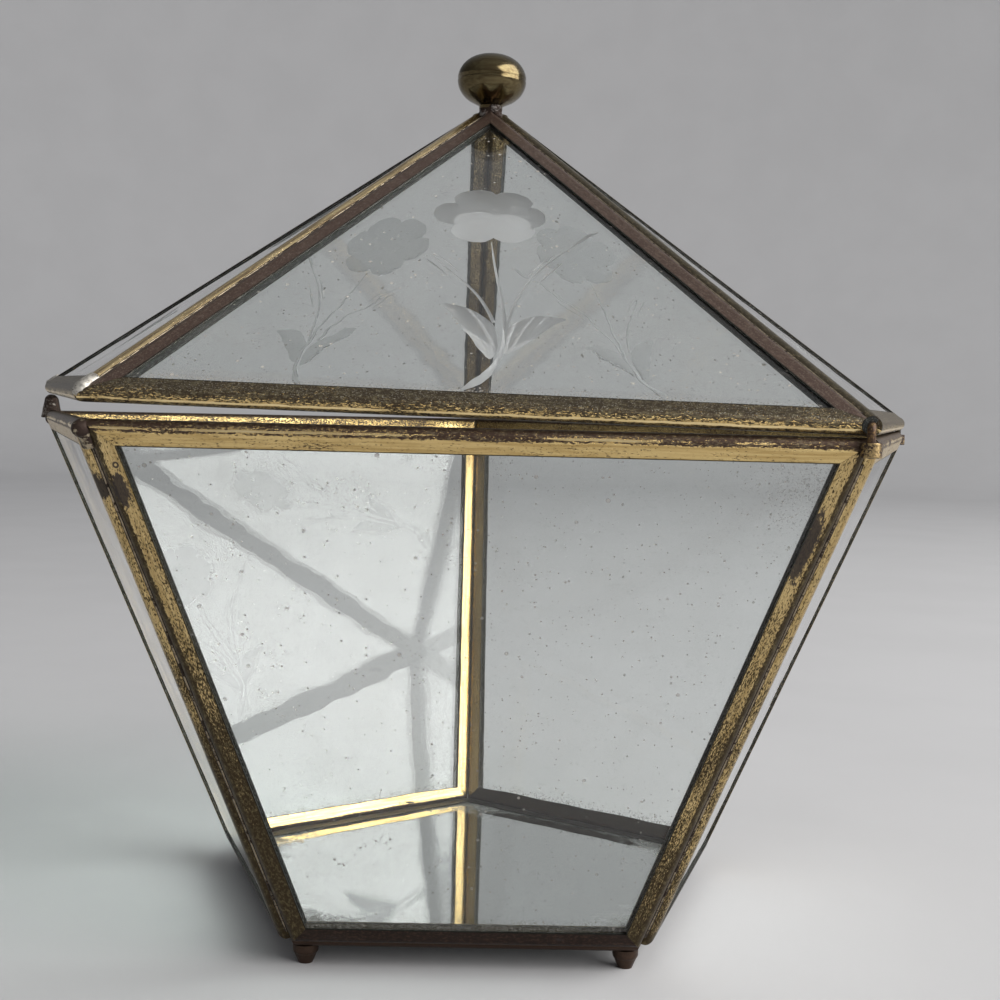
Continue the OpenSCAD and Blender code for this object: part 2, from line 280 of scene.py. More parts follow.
class Bench:
    """The modelling bench: selections and operators that the pieces are shaped with."""

    @staticmethod
    def only(piece: bpy.types.Object) -> None:
        """Selects one object alone and makes it active."""
        bpy.ops.object.select_all(action="DESELECT")
        piece.select_set(True)
        bpy.context.view_layer.objects.active = piece

    @staticmethod
    @contextmanager
    def editing(piece: bpy.types.Object) -> Iterator[None]:
        """Opens one object in edit mode, all of it selected."""
        Bench.only(piece)
        bpy.ops.object.mode_set(mode="EDIT")
        if piece.type == "CURVE":
            bpy.ops.curve.select_all(action="SELECT")
        else:
            bpy.ops.mesh.select_mode(type="VERT")
            bpy.ops.mesh.select_all(action="SELECT")
        yield
        bpy.ops.object.mode_set(mode="OBJECT")

    @staticmethod
    def select_faces(piece: bpy.types.Object, test: Callable[[Vector, Vector], bool]) -> int:
        """Selects faces of the mesh in edit mode.

        Args:
            piece: The object being edited.
            test: Takes a face's centre and normal, and says whether it is wanted.

        Returns:
            How many faces were selected.
        """
        mesh = bmesh.from_edit_mesh(piece.data)
        bpy.ops.mesh.select_mode(type="FACE")
        chosen = 0
        for face in mesh.faces:
            wanted = test(face.calc_center_median(), face.normal)
            face.select_set(wanted)
            chosen += wanted
        bmesh.update_edit_mesh(piece.data)
        return chosen

    @staticmethod
    def modify(piece: bpy.types.Object, kind: str, **settings: Any) -> None:
        """Adds a modifier and applies it.

        Args:
            piece: The object that is changed.
            kind: Blender's name for the modifier.
            settings: Its properties.
        """
        Bench.only(piece)
        bpy.ops.object.modifier_add(type=kind)
        modifier = piece.modifiers[-1]
        for name, value in settings.items():
            setattr(modifier, name, value)
        bpy.ops.object.modifier_apply(modifier=modifier.name)

    @staticmethod
    def copy_of_node(node: bpy.types.Object, name: str) -> bpy.types.Object:
        """Copies a node's mesh, merged and in millimetres.

        Args:
            node: The CAD node.
            name: Name of the new piece.

        Returns:
            The copy, free of the node's body.
        """
        made = bpy.data.objects.new(name, node.data.copy())
        bpy.context.scene.collection.objects.link(made)
        made.data.name = name
        made.data.materials.clear()
        with Bench.editing(made):
            bpy.ops.transform.resize(value=(1 / MM,) * 3, center_override=(0, 0, 0))
            bpy.ops.mesh.remove_doubles(threshold=0.0005)
            bpy.ops.mesh.customdata_custom_splitnormals_clear()
        return made

    @staticmethod
    def joined(pieces: Sequence[bpy.types.Object], name: str) -> bpy.types.Object:
        """Joins several objects into one.

        Args:
            pieces: The objects, of which the first stays.
            name: Name of the result.

        Returns:
            The joined object.
        """
        Bench.only(pieces[0])
        for piece in pieces:
            piece.select_set(True)
        bpy.ops.object.join()
        pieces[0].name = pieces[0].data.name = name
        return pieces[0]

    @staticmethod
    def turned(name: str, profile: Sequence[Point], steps: int = 64) -> bpy.types.Object:
        """Turns a closed shape from its profile.

        Args:
            name: Name of the piece.
            profile: Radius and height of each point, from one pole to the other.
            steps: Steps of the turn.

        Returns:
            The turned piece, about the z axis.
        """
        bpy.ops.object.select_all(action="DESELECT")
        bpy.ops.mesh.primitive_plane_add(size=1)
        made = bpy.context.active_object
        made.name = made.data.name = name
        with Bench.editing(made):
            bpy.ops.mesh.merge(type="CENTER")
            bpy.ops.transform.translate(value=(profile[0][0], 0, profile[0][1]))
            for (r, z), (next_r, next_z) in zip(profile, profile[1:]):
                bpy.ops.mesh.extrude_vertices_move(TRANSFORM_OT_translate={"value": (next_r - r, 0, next_z - z)})
            bpy.ops.mesh.select_all(action="SELECT")
            bpy.ops.mesh.spin(steps=steps, angle=2 * math.pi, center=(0, 0, 0), axis=(0, 0, 1))
            bpy.ops.mesh.select_all(action="SELECT")
            bpy.ops.mesh.remove_doubles(threshold=0.0005)
            bpy.ops.mesh.normals_make_consistent(inside=False)
        return made

    @staticmethod
    def stroke(points: Sequence[Point], radii: Sequence[float], bevel: int = 5) -> bpy.types.Object:
        """Draws a round-sectioned stroke of changing width on the plane z = 0.

        Args:
            points: Its way.
            radii: Its radius at each point.
            bevel: Fineness of its section.

        Returns:
            The stroke as a closed mesh.
        """
        bpy.ops.object.select_all(action="DESELECT")
        bpy.ops.curve.primitive_bezier_curve_add(location=(0, 0, 0))
        made = bpy.context.active_object
        with Bench.editing(made):
            bpy.ops.curve.delete(type="VERT")
            for point, radius in zip(points, radii):
                bpy.ops.curve.vertex_add(location=(*point, 0))
                bpy.ops.curve.radius_set(radius=radius)
            bpy.ops.curve.select_all(action="SELECT")
            bpy.ops.curve.handle_type_set(type="AUTOMATIC")
        made.data.dimensions = "3D"
        made.data.resolution_u = 6
        made.data.bevel_depth = 1.0
        made.data.bevel_resolution = bevel
        made.data.use_fill_caps = True
        Bench.only(made)
        bpy.ops.object.convert(target="MESH")
        return bpy.context.active_object

    @staticmethod
    def drop(centre: Vector, radii: Sequence[float], turn: float = 0.0) -> bpy.types.Object:
        """Sets down a drop of solder that is to be melted with others.

        Args:
            centre: Its middle.
            radii: Its half sizes.
            turn: Its turn about the upright, in radians.

        Returns:
            The drop.
        """
        bpy.ops.object.select_all(action="DESELECT")
        bpy.ops.mesh.primitive_uv_sphere_add(segments=24, ring_count=16, radius=1)
        made = bpy.context.active_object
        with Bench.editing(made):
            bpy.ops.transform.resize(value=tuple(radii), center_override=(0, 0, 0))
            bpy.ops.transform.rotate(value=turn, orient_axis="Z", center_override=(0, 0, 0))
            bpy.ops.transform.translate(value=tuple(centre))
        return made

    @staticmethod
    def melted(name: str, pieces: Sequence[bpy.types.Object], voxel: float = 0.12, rise: float = 0.1) -> bpy.types.Object:
        """Melts pieces into one another, with the uneven skin of solder that ran and set.

        Args:
            name: Name of the result.
            pieces: The pieces, in millimetres.
            voxel: Fineness of the new skin.
            rise: Height of its unevenness.

        Returns:
            The melted piece.
        """
        made = Bench.joined(pieces, name)
        Bench.modify(made, "REMESH", mode="VOXEL", voxel_size=voxel)
        Bench.modify(made, "SMOOTH", factor=0.5, iterations=5)
        clouds = bpy.data.textures.new(name, "CLOUDS")
        clouds.noise_scale = 0.7
        Bench.modify(made, "DISPLACE", texture=clouds, texture_coords="LOCAL", strength=rise, mid_level=0.7)
        return made

    @staticmethod
    def place(piece: bpy.types.Object, where: Matrix) -> None:
        """Moves a mesh to a frame in millimetres, and brings it to metres at the origin."""
        piece.matrix_world = Matrix.Scale(MM, 4) @ where
        Bench.only(piece)
        bpy.ops.object.transform_apply(location=True, rotation=True, scale=True)

    @staticmethod
    def smooth(piece: bpy.types.Object, degrees: float = 30.0) -> None:
        """Shades a piece smooth, and leaves edges sharper than the angle crisp."""
        Bench.only(piece)
        bpy.ops.object.shade_smooth_by_angle(angle=math.radians(degrees))


# ---- Shader graphs


class Graph:
    """One node tree that is being wired."""

    def __init__(self, tree: bpy.types.NodeTree) -> None:
        """Starts with an empty tree."""
        self.tree = tree
        tree.nodes.clear()

    def put(self, socket: bpy.types.NodeSocket, value: Value) -> None:
        """Links a socket to an input, or sets the input's own value."""
        if isinstance(value, bpy.types.NodeSocket):
            self.tree.links.new(value, socket)
        else:
            socket.default_value = value

    def node(
        self, kind: str, inputs: Optional[Mapping[Union[str, int], Value]] = None, **settings: Any
    ) -> bpy.types.Node:
        """Adds a node.

        Args:
            kind: Blender's name for the node, without its prefix.
            inputs: Values or sockets by the name or number of the input.
            settings: The node's own properties.

        Returns:
            The node.
        """
        made = self.tree.nodes.new("ShaderNode" + kind)
        for name, value in settings.items():
            setattr(made, name, value)
        for key, value in (inputs or {}).items():
            self.put(made.inputs[key], value)
        return made

    def math(self, operation: str, *values: Value, clamp: bool = False) -> bpy.types.NodeSocket:
        """Result of a Math node."""
        return self.node("Math", dict(enumerate(values)), operation=operation, use_clamp=clamp).outputs[0]

    def vector(self, operation: str, *values: Value) -> bpy.types.NodeSocket:
        """Result of a Vector Math node."""
        return self.node("VectorMath", dict(enumerate(values)), operation=operation).outputs[0]

    def blend(self, factor: Value, a: Value, b: Value, kind: str = "MIX") -> bpy.types.NodeSocket:
        """Colour between a and b."""
        mix = self.node("Mix", {0: factor, 6: a, 7: b}, data_type="RGBA", blend_type=kind)
        return mix.outputs[2]

    def between(self, factor: Value, a: Value, b: Value) -> bpy.types.NodeSocket:
        """Number between a and b."""
        return self.node("Mix", {0: factor, 2: a, 3: b}, data_type="FLOAT").outputs[0]

    def step(self, value: Value, low: Value, high: Value, out: Value = 1.0) -> bpy.types.NodeSocket:
        """Smooth step of a value from 0 at low to out at high."""
        inputs = {"Value": value, "From Min": low, "From Max": high, "To Max": out}
        return self.node("MapRange", inputs, interpolation_type="SMOOTHSTEP").outputs[0]

    def noise(
        self, vector: Value, scale: float, detail: float = 3.0, rough: float = 0.55, twist: float = 0.0
    ) -> bpy.types.NodeSocket:
        """Value of a noise texture."""
        inputs = {"Vector": vector, "Scale": scale, "Detail": detail, "Roughness": rough, "Distortion": twist}
        return self.node("TexNoise", inputs).outputs[0]

    def stretched(self, vector: Value, x: float, y: float, z: float) -> bpy.types.NodeSocket:
        """Vector with its axes scaled."""
        return self.vector("MULTIPLY", vector, (x, y, z))

    def apart(self, vector: Value) -> Sequence[bpy.types.NodeSocket]:
        """The three numbers of a vector."""
        return self.node("SeparateXYZ", {0: vector}).outputs

    def effect(self, kind: type["Effect"], **inputs: Value) -> Mapping[str, bpy.types.NodeSocket]:
        """Places a shared effect.

        Args:
            kind: The effect.
            inputs: Its values, with an underscore for a blank in an input's name.

        Returns:
            The outputs of the placed group.
        """
        made = self.node("Group", node_tree=kind.tree())
        for name, value in inputs.items():
            self.put(made.inputs[name.replace("_", " ")], value)
        return made.outputs


class Effect:
    """A shared effect: a group of nodes built once and placed with each material's own values."""

    name: ClassVar[str]
    takes: ClassVar[Mapping[str, tuple[str, Any]]]
    gives: ClassVar[Mapping[str, str]]

    @classmethod
    def tree(cls) -> bpy.types.NodeTree:
        """The group's node tree, built when it is first asked for."""
        if cls.name in bpy.data.node_groups:
            return bpy.data.node_groups[cls.name]
        tree = bpy.data.node_groups.new(cls.name, "ShaderNodeTree")
        for name, (kind, default) in cls.takes.items():
            socket = tree.interface.new_socket(name=name, in_out="INPUT", socket_type="NodeSocket" + kind)
            if default is not None:
                socket.default_value = default
        for name, kind in cls.gives.items():
            tree.interface.new_socket(name=name, in_out="OUTPUT", socket_type="NodeSocket" + kind)
        graph = Graph(tree)
        start, end = tree.nodes.new("NodeGroupInput"), tree.nodes.new("NodeGroupOutput")
        for name, socket in cls.wire(graph, start.outputs).items():
            graph.put(end.inputs[name], socket)
        return tree

    @classmethod
    def wire(cls, g: Graph, given: Mapping[str, bpy.types.NodeSocket]) -> dict[str, bpy.types.NodeSocket]:
        """Wires the group from its inputs, and returns its outputs by name."""
        raise NotImplementedError


class Weathering(Effect):
    """Old metal's marks: drawn streaks, fine and middling pits, and large stains."""

    name = "weathering"
    takes = {
        "Vector": ("Vector", None),
        "Seed": ("Float", 0.0),
        "Blotch": ("Float", 0.3),
    }
    gives = {"Streak": "Float", "Fine": "Float", "Middle": "Float", "Stain": "Float", "Shift": "Vector"}

    @classmethod
    def wire(cls, g: Graph, given: Mapping[str, bpy.types.NodeSocket]) -> dict[str, bpy.types.NodeSocket]:
        """Wires the marks from noises of several sizes."""
        far = g.node("VectorMath", {0: (13.7, 7.9, 23.1), "Scale": given["Seed"]}, operation="SCALE").outputs[0]
        at = g.vector("ADD", given["Vector"], far)
        streak = g.noise(g.stretched(at, 0.14, 3.2, 3.2), 1.0, 4, 0.65)
        fine = g.noise(g.stretched(at, 2.5, 7.6, 7.6), 1.0, 3, 0.7)
        middle = g.noise(g.stretched(at, 1.6, 2.9, 2.9), 1.0, 4, 0.74)
        broad = g.noise(g.stretched(at, 0.20, 0.75, 0.75), 1.0, 3, 0.6, 0.4)
        worn = g.math("MULTIPLY_ADD", given["Blotch"], -0.30, 0.84)
        torn = g.math("MULTIPLY_ADD", g.math("SUBTRACT", fine, 0.5), 0.22, broad)
        stain = g.step(torn, worn, g.math("ADD", worn, 0.025))
        return {"Streak": streak, "Fine": fine, "Middle": middle, "Stain": stain, "Shift": at}


class CameSkin(Effect):
    """Skin of old folded brass: pitted patina that bare metal shows through, worn clean along a line that is coloured
    brighter than bare brass as a painted highlight, with painted shade on the inner faces and on the channel's hidden
    inner wall.
    """

    name = "came skin"
    takes = {
        "Vector": ("Vector", None),
        "Half Length": ("Float", 20.0),
        "Seed": ("Float", 0.0),
        "Face": ("Float", 0.2),
        "Back": ("Float", 0.8),
        "Inner": ("Float", 0.5),
        "End": ("Float", 0.6),
        "Blotch": ("Float", 0.3),
        # Line and Line Angle place the band of worn-clean metal that is painted brighter than bare brass as a
        # highlight.
        "Line": ("Float", 0.5),
        "Line Angle": ("Float", 60.0),
        "Dust": ("Float", 0.0),
        "Fall": ("Float", 0.0),
        "Blot": ("Vector", (0.0, 90.0, 1.0)),
        "Ring": ("Vector", (0.0, 90.0, 0.3)),
        "Bright": ("Color", (0.80, 0.60, 0.27, 1)),
        "Bronze": ("Color", (0.50, 0.34, 0.13, 1)),
        "Brown": ("Color", (0.052, 0.031, 0.021, 1)),
        "Olive": ("Color", (0.14, 0.108, 0.070, 1)),
    }
    gives = {"Color": "Color", "Roughness": "Float", "Metallic": "Float", "Height": "Float"}

    @staticmethod
    def blot(g: Graph, at: Value, mark: Value, width: float, ragged: Value) -> bpy.types.NodeSocket:
        """Distance from a long blot's middle, which is 1 at its ragged edge.

        Args:
            g: The graph.
            at: Coordinates of the channel.
            mark: Place along and across the channel, and half length.
            width: Half width.
            ragged: Noise that tears the edge.

        Returns:
            The distance.
        """
        here, there = g.apart(at), g.apart(mark)
        run = g.math("DIVIDE", g.math("SUBTRACT", here[0], there[0]), there[2])
        side = g.math("DIVIDE", g.math("SUBTRACT", here[1], there[1]), width)
        far = g.math("SQRT", g.math("ADD", g.math("MULTIPLY", run, run), g.math("MULTIPLY", side, side)))
        return g.math("MULTIPLY_ADD", g.math("SUBTRACT", ragged, 0.5), 1.6, far)

    @classmethod
    def wire(cls, g: Graph, given: Mapping[str, bpy.types.NodeSocket]) -> dict[str, bpy.types.NodeSocket]:
        """Wires the skin over the channel's own directions."""
        marks = g.effect(Weathering, Vector=given["Vector"], Seed=given["Seed"], Blotch=given["Blotch"])
        along, across, out = g.apart(given["Vector"])
        wander = g.noise(g.stretched(marks["Shift"], 0.35, 0.5, 0.5), 1.0, 3, 0.6)
        patch = g.noise(g.stretched(marks["Shift"], 0.13, 0.3, 0.3), 1.0, 3, 0.6)
        turn = g.math("ARCTAN2", g.math("ADD", out, 1.0), g.math("SUBTRACT", 1.0, across))
        turn = g.math("MULTIPLY", turn, math.degrees(1))
        wavy = g.math("MULTIPLY_ADD", g.math("SUBTRACT", wander, 0.5), 22.0, turn)
        cover = g.between(g.step(wavy, 76.0, 96.0), given["Back"], given["Face"])
        cover = g.between(g.step(wavy, -90.0, -68.0), given["Inner"], cover)
        cover = g.math("ADD", cover, g.math("MULTIPLY", g.math("SUBTRACT", patch, 0.5), 0.55))
        reach = g.math("SUBTRACT", given["Half Length"], g.math("ABSOLUTE", along))
        near_end = g.math("SUBTRACT", 1.0, g.step(g.math("MULTIPLY_ADD", wander, 2.4, reach), 1.4, 3.4))
        cover = g.math("MULTIPLY_ADD", near_end, given["End"], cover)
        start = g.math("MULTIPLY", g.math("ABSOLUTE", given["Fall"]), 0.35)
        fall = g.math("MULTIPLY_ADD", g.math("DIVIDE", along, given["Half Length"]), given["Fall"], start)
        cover = g.math("ADD", cover, g.math("MAXIMUM", fall, 0.0))
        # Worn-clean band at a set angle round the channel, with less patina beside it: partly real wear, partly a
        # painted highlight.
        off = g.math("ABSOLUTE", g.math("SUBTRACT", wavy, given["Line Angle"]))
        kept = g.step(patch, g.math("SUBTRACT", 0.82, given["Line"]), 0.74)
        kept = g.math("MULTIPLY", kept, g.math("GREATER_THAN", given["Line"], 0.01))
        rubbed_highlight = g.math("MULTIPLY", g.math("SUBTRACT", 1.0, g.step(off, 4.5, 10.0)), kept)
        beside_highlight = g.math("MULTIPLY", g.math("SUBTRACT", 1.0, g.step(off, 8.0, 60.0)), kept)
        cover = g.math("MULTIPLY_ADD", rubbed_highlight, -1.0, g.math("MULTIPLY_ADD", beside_highlight, -0.45, cover))
        edge = g.math("MULTIPLY_ADD", g.math("SUBTRACT", cover, 0.5), 0.6, 0.5)
        old = g.step(g.math("SUBTRACT", edge, marks["Fine"]), -0.06, 0.07)
        torn = g.math("MULTIPLY_ADD", g.math("SUBTRACT", marks["Middle"], 0.5), 1.1, wander)
        blot = g.math("SUBTRACT", 1.0, g.step(cls.blot(g, given["Vector"], given["Blot"], 0.8, torn), 0.85, 1.05))
        ring = cls.blot(g, given["Vector"], given["Ring"], 0.3, 0.5)
        ring = g.math("SUBTRACT", g.step(ring, 0.35, 0.6), g.step(ring, 1.0, 1.25))
        stain = g.math("MAXIMUM", marks["Stain"], g.math("MAXIMUM", blot, ring), clamp=True)
        bare = g.blend(g.step(marks["Streak"], 0.32, 0.72), given["Bright"], given["Bronze"])
        # Painted highlight: the band's colour is brighter than bare brass.
        bare = g.blend(rubbed_highlight, bare, (1.0, 0.80, 0.44, 1))
        patina = g.blend(g.step(marks["Middle"], 0.46, 0.68), given["Brown"], given["Olive"])
        # Inner faces, which look into the casket, have their patina pulled towards near black: partly real patina,
        # partly painted shade.
        inner_shade = g.math("MULTIPLY", g.math("SUBTRACT", 1.0, g.step(wavy, -96.0, -74.0)), given["Inner"])
        patina = g.blend(g.math("MULTIPLY", inner_shade, 0.6), patina, (0.022, 0.017, 0.010, 1))
        color = g.blend(old, bare, patina)
        color = g.blend(g.math("MULTIPLY", stain, 0.95), color, (0.020, 0.012, 0.009, 1))
        lip = g.step(g.math("MULTIPLY_ADD", wander, 0.1, across), 2.38, 2.47)
        color = g.blend(g.math("MULTIPLY", lip, 0.9), color, (0.012, 0.012, 0.008, 1))
        # Painted shade: the hidden face of the channel's inner wall, seen through the glass, is painted near black with
        # a few paler crumbs.
        inside = g.math("LESS_THAN", g.math("ABSOLUTE", g.math("ADD", out, 1.0)), 0.88)
        inside = g.math("MULTIPLY", inside, g.math("GREATER_THAN", across, 0.9))
        inside = g.math("MULTIPLY", inside, g.math("GREATER_THAN", given["Half Length"], 1.0))
        crumb = g.step(marks["Fine"], 0.50, 0.62)
        color = g.blend(g.math("MULTIPLY", inside, 0.9), color, g.blend(crumb, (0.038, 0.040, 0.038, 1), (0.15, 0.16, 0.15, 1)))
        lip = g.math("MAXIMUM", lip, inside)
        lying = g.math("MULTIPLY", g.step(turn, 40.0, 75.0), g.step(g.noise(marks["Shift"], 6.5, 2, 0.6), 0.60, 0.66))
        lying = g.math("MULTIPLY", lying, given["Dust"])
        color = g.blend(lying, color, (0.42, 0.39, 0.31, 1))
        lip = g.math("MAXIMUM", lip, lying)
        dull = g.math("MAXIMUM", old, g.math("MAXIMUM", stain, lip), clamp=True)
        rough = g.between(dull, g.math("MULTIPLY_ADD", marks["Streak"], 0.20, 0.14), g.between(stain, 0.43, 0.56))
        metal = g.between(stain, g.between(dull, 1.0, 0.72), 0.12)
        height = g.math("MULTIPLY_ADD", g.math("MAXIMUM", old, stain), -0.6, g.math("MULTIPLY", marks["Middle"], 0.8))
        height = g.math("MULTIPLY_ADD", marks["Streak"], 0.4, height)
        return {"Color": color, "Roughness": rough, "Metallic": metal, "Height": height}


class SolderSkin(Effect):
    """Skin of old tin solder: cloudy grey where it was wiped, brown and pitted where it was not."""

    name = "solder skin"
    takes = {
        "Vector": ("Vector", None),
        "Seed": ("Float", 0.0),
        "Stain": ("Float", 0.5),
        "Tin": ("Color", (0.46, 0.43, 0.40, 1)),
        "Grime": ("Color", (0.040, 0.024, 0.018, 1)),
    }
    gives = {"Color": "Color", "Roughness": "Float", "Metallic": "Float", "Height": "Float"}

    @classmethod
    def wire(cls, g: Graph, given: Mapping[str, bpy.types.NodeSocket]) -> dict[str, bpy.types.NodeSocket]:
        """Wires the skin from its clouds and stains."""
        marks = g.effect(Weathering, Vector=given["Vector"], Seed=given["Seed"], Blotch=0.0)
        cloud = g.noise(marks["Shift"], 1.3, 4, 0.65, 0.4)
        dim = g.blend(0.55, given["Tin"], given["Grime"])
        grey = g.blend(g.step(cloud, 0.35, 0.6), dim, given["Tin"])
        cover = g.math("MULTIPLY_ADD", g.math("SUBTRACT", g.noise(marks["Shift"], 0.6, 3, 0.6), 0.5), 2.2, given["Stain"])
        edge = g.math("MULTIPLY_ADD", g.math("SUBTRACT", cover, 0.5), 0.6, 0.5)
        brown = g.step(g.math("SUBTRACT", edge, marks["Middle"]), -0.05, 0.06)
        color = g.blend(brown, grey, given["Grime"])
        rough = g.between(brown, g.math("MULTIPLY_ADD", cloud, 0.20, 0.14), 0.42)
        metal = g.between(brown, 1.0, 0.6)
        height = g.math("MULTIPLY_ADD", brown, -0.4, g.math("ADD", cloud, g.math("MULTIPLY", marks["Fine"], 0.5)))
        return {"Color": color, "Roughness": rough, "Metallic": metal, "Height": height}


class DustFilm(Effect):
    """Dust on glass: fine specks all over, smudges, and grime along the foot and in one corner."""

    name = "dust film"
    takes = {
        "Vector": ("Vector", None),
        "Seed": ("Float", 0.0),
        "Foot": ("Float", 5.0),
        "Amount": ("Float", 0.5),
        "Corner": ("Vector", (0.0, 0.0, 0.0)),
    }
    gives = {"Mask": "Float", "Haze": "Float"}

    @staticmethod
    def specks(g: Graph, at: Value, scale: float, size: float, share: Value) -> bpy.types.NodeSocket:
        """Round specks of dust.

        Args:
            g: The graph.
            at: Coordinates in millimetres.
            scale: How many cells of the pattern there are to a millimetre.
            size: Largest radius of a speck, in cells.
            share: Share of the cells that hold one.

        Returns:
            Their mask.
        """
        cells = g.node("TexVoronoi", {"Vector": at, "Scale": scale, "Randomness": 1.0})
        chance = g.apart(cells.outputs["Color"])
        reach = g.math("MULTIPLY_ADD", chance[0], size * 0.8, size * 0.2)
        mask = g.math("SUBTRACT", 1.0, g.step(cells.outputs["Distance"], reach, g.math("ADD", reach, 0.05)))
        return g.math("MULTIPLY", mask, g.math("LESS_THAN", chance[1], share))

    @classmethod
    def wire(cls, g: Graph, given: Mapping[str, bpy.types.NodeSocket]) -> dict[str, bpy.types.NodeSocket]:
        """Wires the film in a panel's own directions, y up its slope."""
        far = g.node("VectorMath", {0: (31.7, 17.9, 5.1), "Scale": given["Seed"]}, operation="SCALE").outputs[0]
        at = g.vector("ADD", given["Vector"], far)
        _, up, _ = g.apart(given["Vector"])
        cloud = g.noise(at, 0.07, 4, 0.6, 0.5)
        rag = g.noise(at, 0.5, 3, 0.65)
        there = g.node("VectorMath", {0: given["Vector"], 1: given["Corner"]}, operation="DISTANCE").outputs["Value"]
        corner = g.math("SUBTRACT", 1.0, g.step(g.math("MULTIPLY_ADD", rag, 9.0, there), 4.0, 15.0))
        foot = g.math("SUBTRACT", g.math("MULTIPLY_ADD", rag, 2.6, given["Foot"]), up)
        foot = g.step(foot, -0.9, 1.5)
        dense = g.math("MAXIMUM", foot, g.math("MULTIPLY", corner, 0.75))
        crumbs = g.noise(at, 3.1, 3, 0.75)
        grime = g.step(g.math("MULTIPLY_ADD", dense, 0.16, crumbs), 0.66, 0.74)
        share = g.math("MULTIPLY_ADD", g.step(cloud, 0.3, 0.7), 0.34, 0.10)
        fine = cls.specks(g, at, 1.1, 0.15, share)
        few = cls.specks(g, at, 0.42, 0.085, 0.40)
        smudge = g.math("MULTIPLY", g.step(g.noise(g.stretched(at, 0.5, 0.9, 0.5), 0.5, 4, 0.7, 1.2), 0.60, 0.78), 0.16)
        mask = g.math("MAXIMUM", g.math("MAXIMUM", fine, few), g.math("MULTIPLY", grime, 0.75))
        mask = g.math("MULTIPLY", g.math("MAXIMUM", mask, smudge), given["Amount"])
        haze = g.math("MULTIPLY", g.step(cloud, 0.35, 0.8), given["Amount"])
        total = g.math("MULTIPLY_ADD", haze, 0.05, mask, clamp=True)
        return {"Mask": total, "Haze": haze}


# ---- Finishes


@dataclass(frozen=True)
class Finish:
    """A finish that is laid on pieces as a material."""

    def start(self, name: str, place: Matrix) -> tuple[bpy.types.Material, Graph, bpy.types.NodeSocket]:
        """Starts a material on coordinates in millimetres in a frame.

        Args:
            name: Name of the material.
            place: The frame that its pattern follows.

        Returns:
            The material, its graph, and the coordinates.
        """
        material = bpy.data.materials.new(name)
        material.use_nodes = True
        graph = Graph(material.node_tree)
        where = graph.node("TexCoord").outputs["Object"]
        at, turn, _ = place.decompose()
        inputs = {"Vector": where, "Location": at * MM, "Rotation": turn.to_euler(), "Scale": (MM, MM, MM)}
        return material, graph, graph.node("Mapping", inputs, vector_type="TEXTURE").outputs[0]

    @staticmethod
    def metal(graph: Graph, skin: Mapping[str, bpy.types.NodeSocket], depth: float, polish: float = 1.0) -> None:
        """Ends a metal's graph with its shader.

        Args:
            graph: The material's graph.
            skin: Outputs of a skin: colour, roughness, metallic and height.
            depth: Depth of the relief, in millimetres.
            polish: Share of the skin's roughness that is left.
        """
        bump = graph.node("Bump", {"Strength": 1.0, "Distance": depth * MM, "Height": skin["Height"]})
        inputs = {
            "Base Color": skin["Color"],
            "Roughness": graph.math("MULTIPLY", skin["Roughness"], polish),
            "Metallic": skin["Metallic"],
            "Normal": bump.outputs[0],
        }
        shader = graph.node("BsdfPrincipled", inputs)
        graph.node("OutputMaterial", {"Surface": shader.outputs[0]})


@dataclass(frozen=True)
class BrassFinish(Finish):
    """Aged brass on a length of channel."""

    face: float = 0.2
    back: float = 0.8
    inner: float = 0.35
    end: float = 0.5
    blotch: float = 0.25
    # line and its angle place a band of worn-clean metal that is painted brighter as a highlight.
    line: float = 0.0
    highlight_line_angle: float = 60.0
    dust: float = 0.0
    fall: float = 0.0
    bright: Color = (0.80, 0.60, 0.27, 1)
    bronze: Color = (0.50, 0.34, 0.13, 1)
    brown: Color = (0.052, 0.031, 0.021, 1)
    olive: Color = (0.14, 0.108, 0.070, 1)
    relief: float = 0.03
    polish: float = 1.0
    blot: tuple[float, float, float] = (0.0, 90.0, 1.0)
    ring: tuple[float, float, float] = (0.0, 90.0, 0.3)

    def lay(self, came: Came, seed: float) -> bpy.types.Material:
        """Makes the material for one channel."""
        material, graph, at = self.start(came.node, came.place)
        skin = graph.effect(
            CameSkin,
            Vector=at,
            Half_Length=came.length / 2,
            Seed=seed,
            Face=self.face,
            Back=self.back,
            Inner=self.inner,
            End=self.end,
            Blotch=self.blotch,
            Line=self.line,
            Line_Angle=self.highlight_line_angle,
            Dust=self.dust,
            Fall=self.fall,
            Blot=self.blot,
            Ring=self.ring,
            Bright=self.bright,
            Bronze=self.bronze,
            Brown=self.brown,
            Olive=self.olive,
        )
        self.metal(graph, skin, self.relief, self.polish)
        return material


@dataclass(frozen=True)
class SolderFinish(Finish):
    """Old tin solder."""

    stain: float = 0.5
    tin: Color = (0.46, 0.43, 0.40, 1)
    grime: Color = (0.040, 0.024, 0.018, 1)
    relief: float = 0.06
    polish: float = 1.4

    def lay(self, name: str, place: Matrix, seed: float) -> bpy.types.Material:
        """Makes the material for one piece of solder work."""
        material, graph, at = self.start(name, place)
        skin = graph.effect(SolderSkin, Vector=at, Seed=seed, Stain=self.stain, Tin=self.tin, Grime=self.grime)
        self.metal(graph, skin, self.relief, self.polish)
        return material


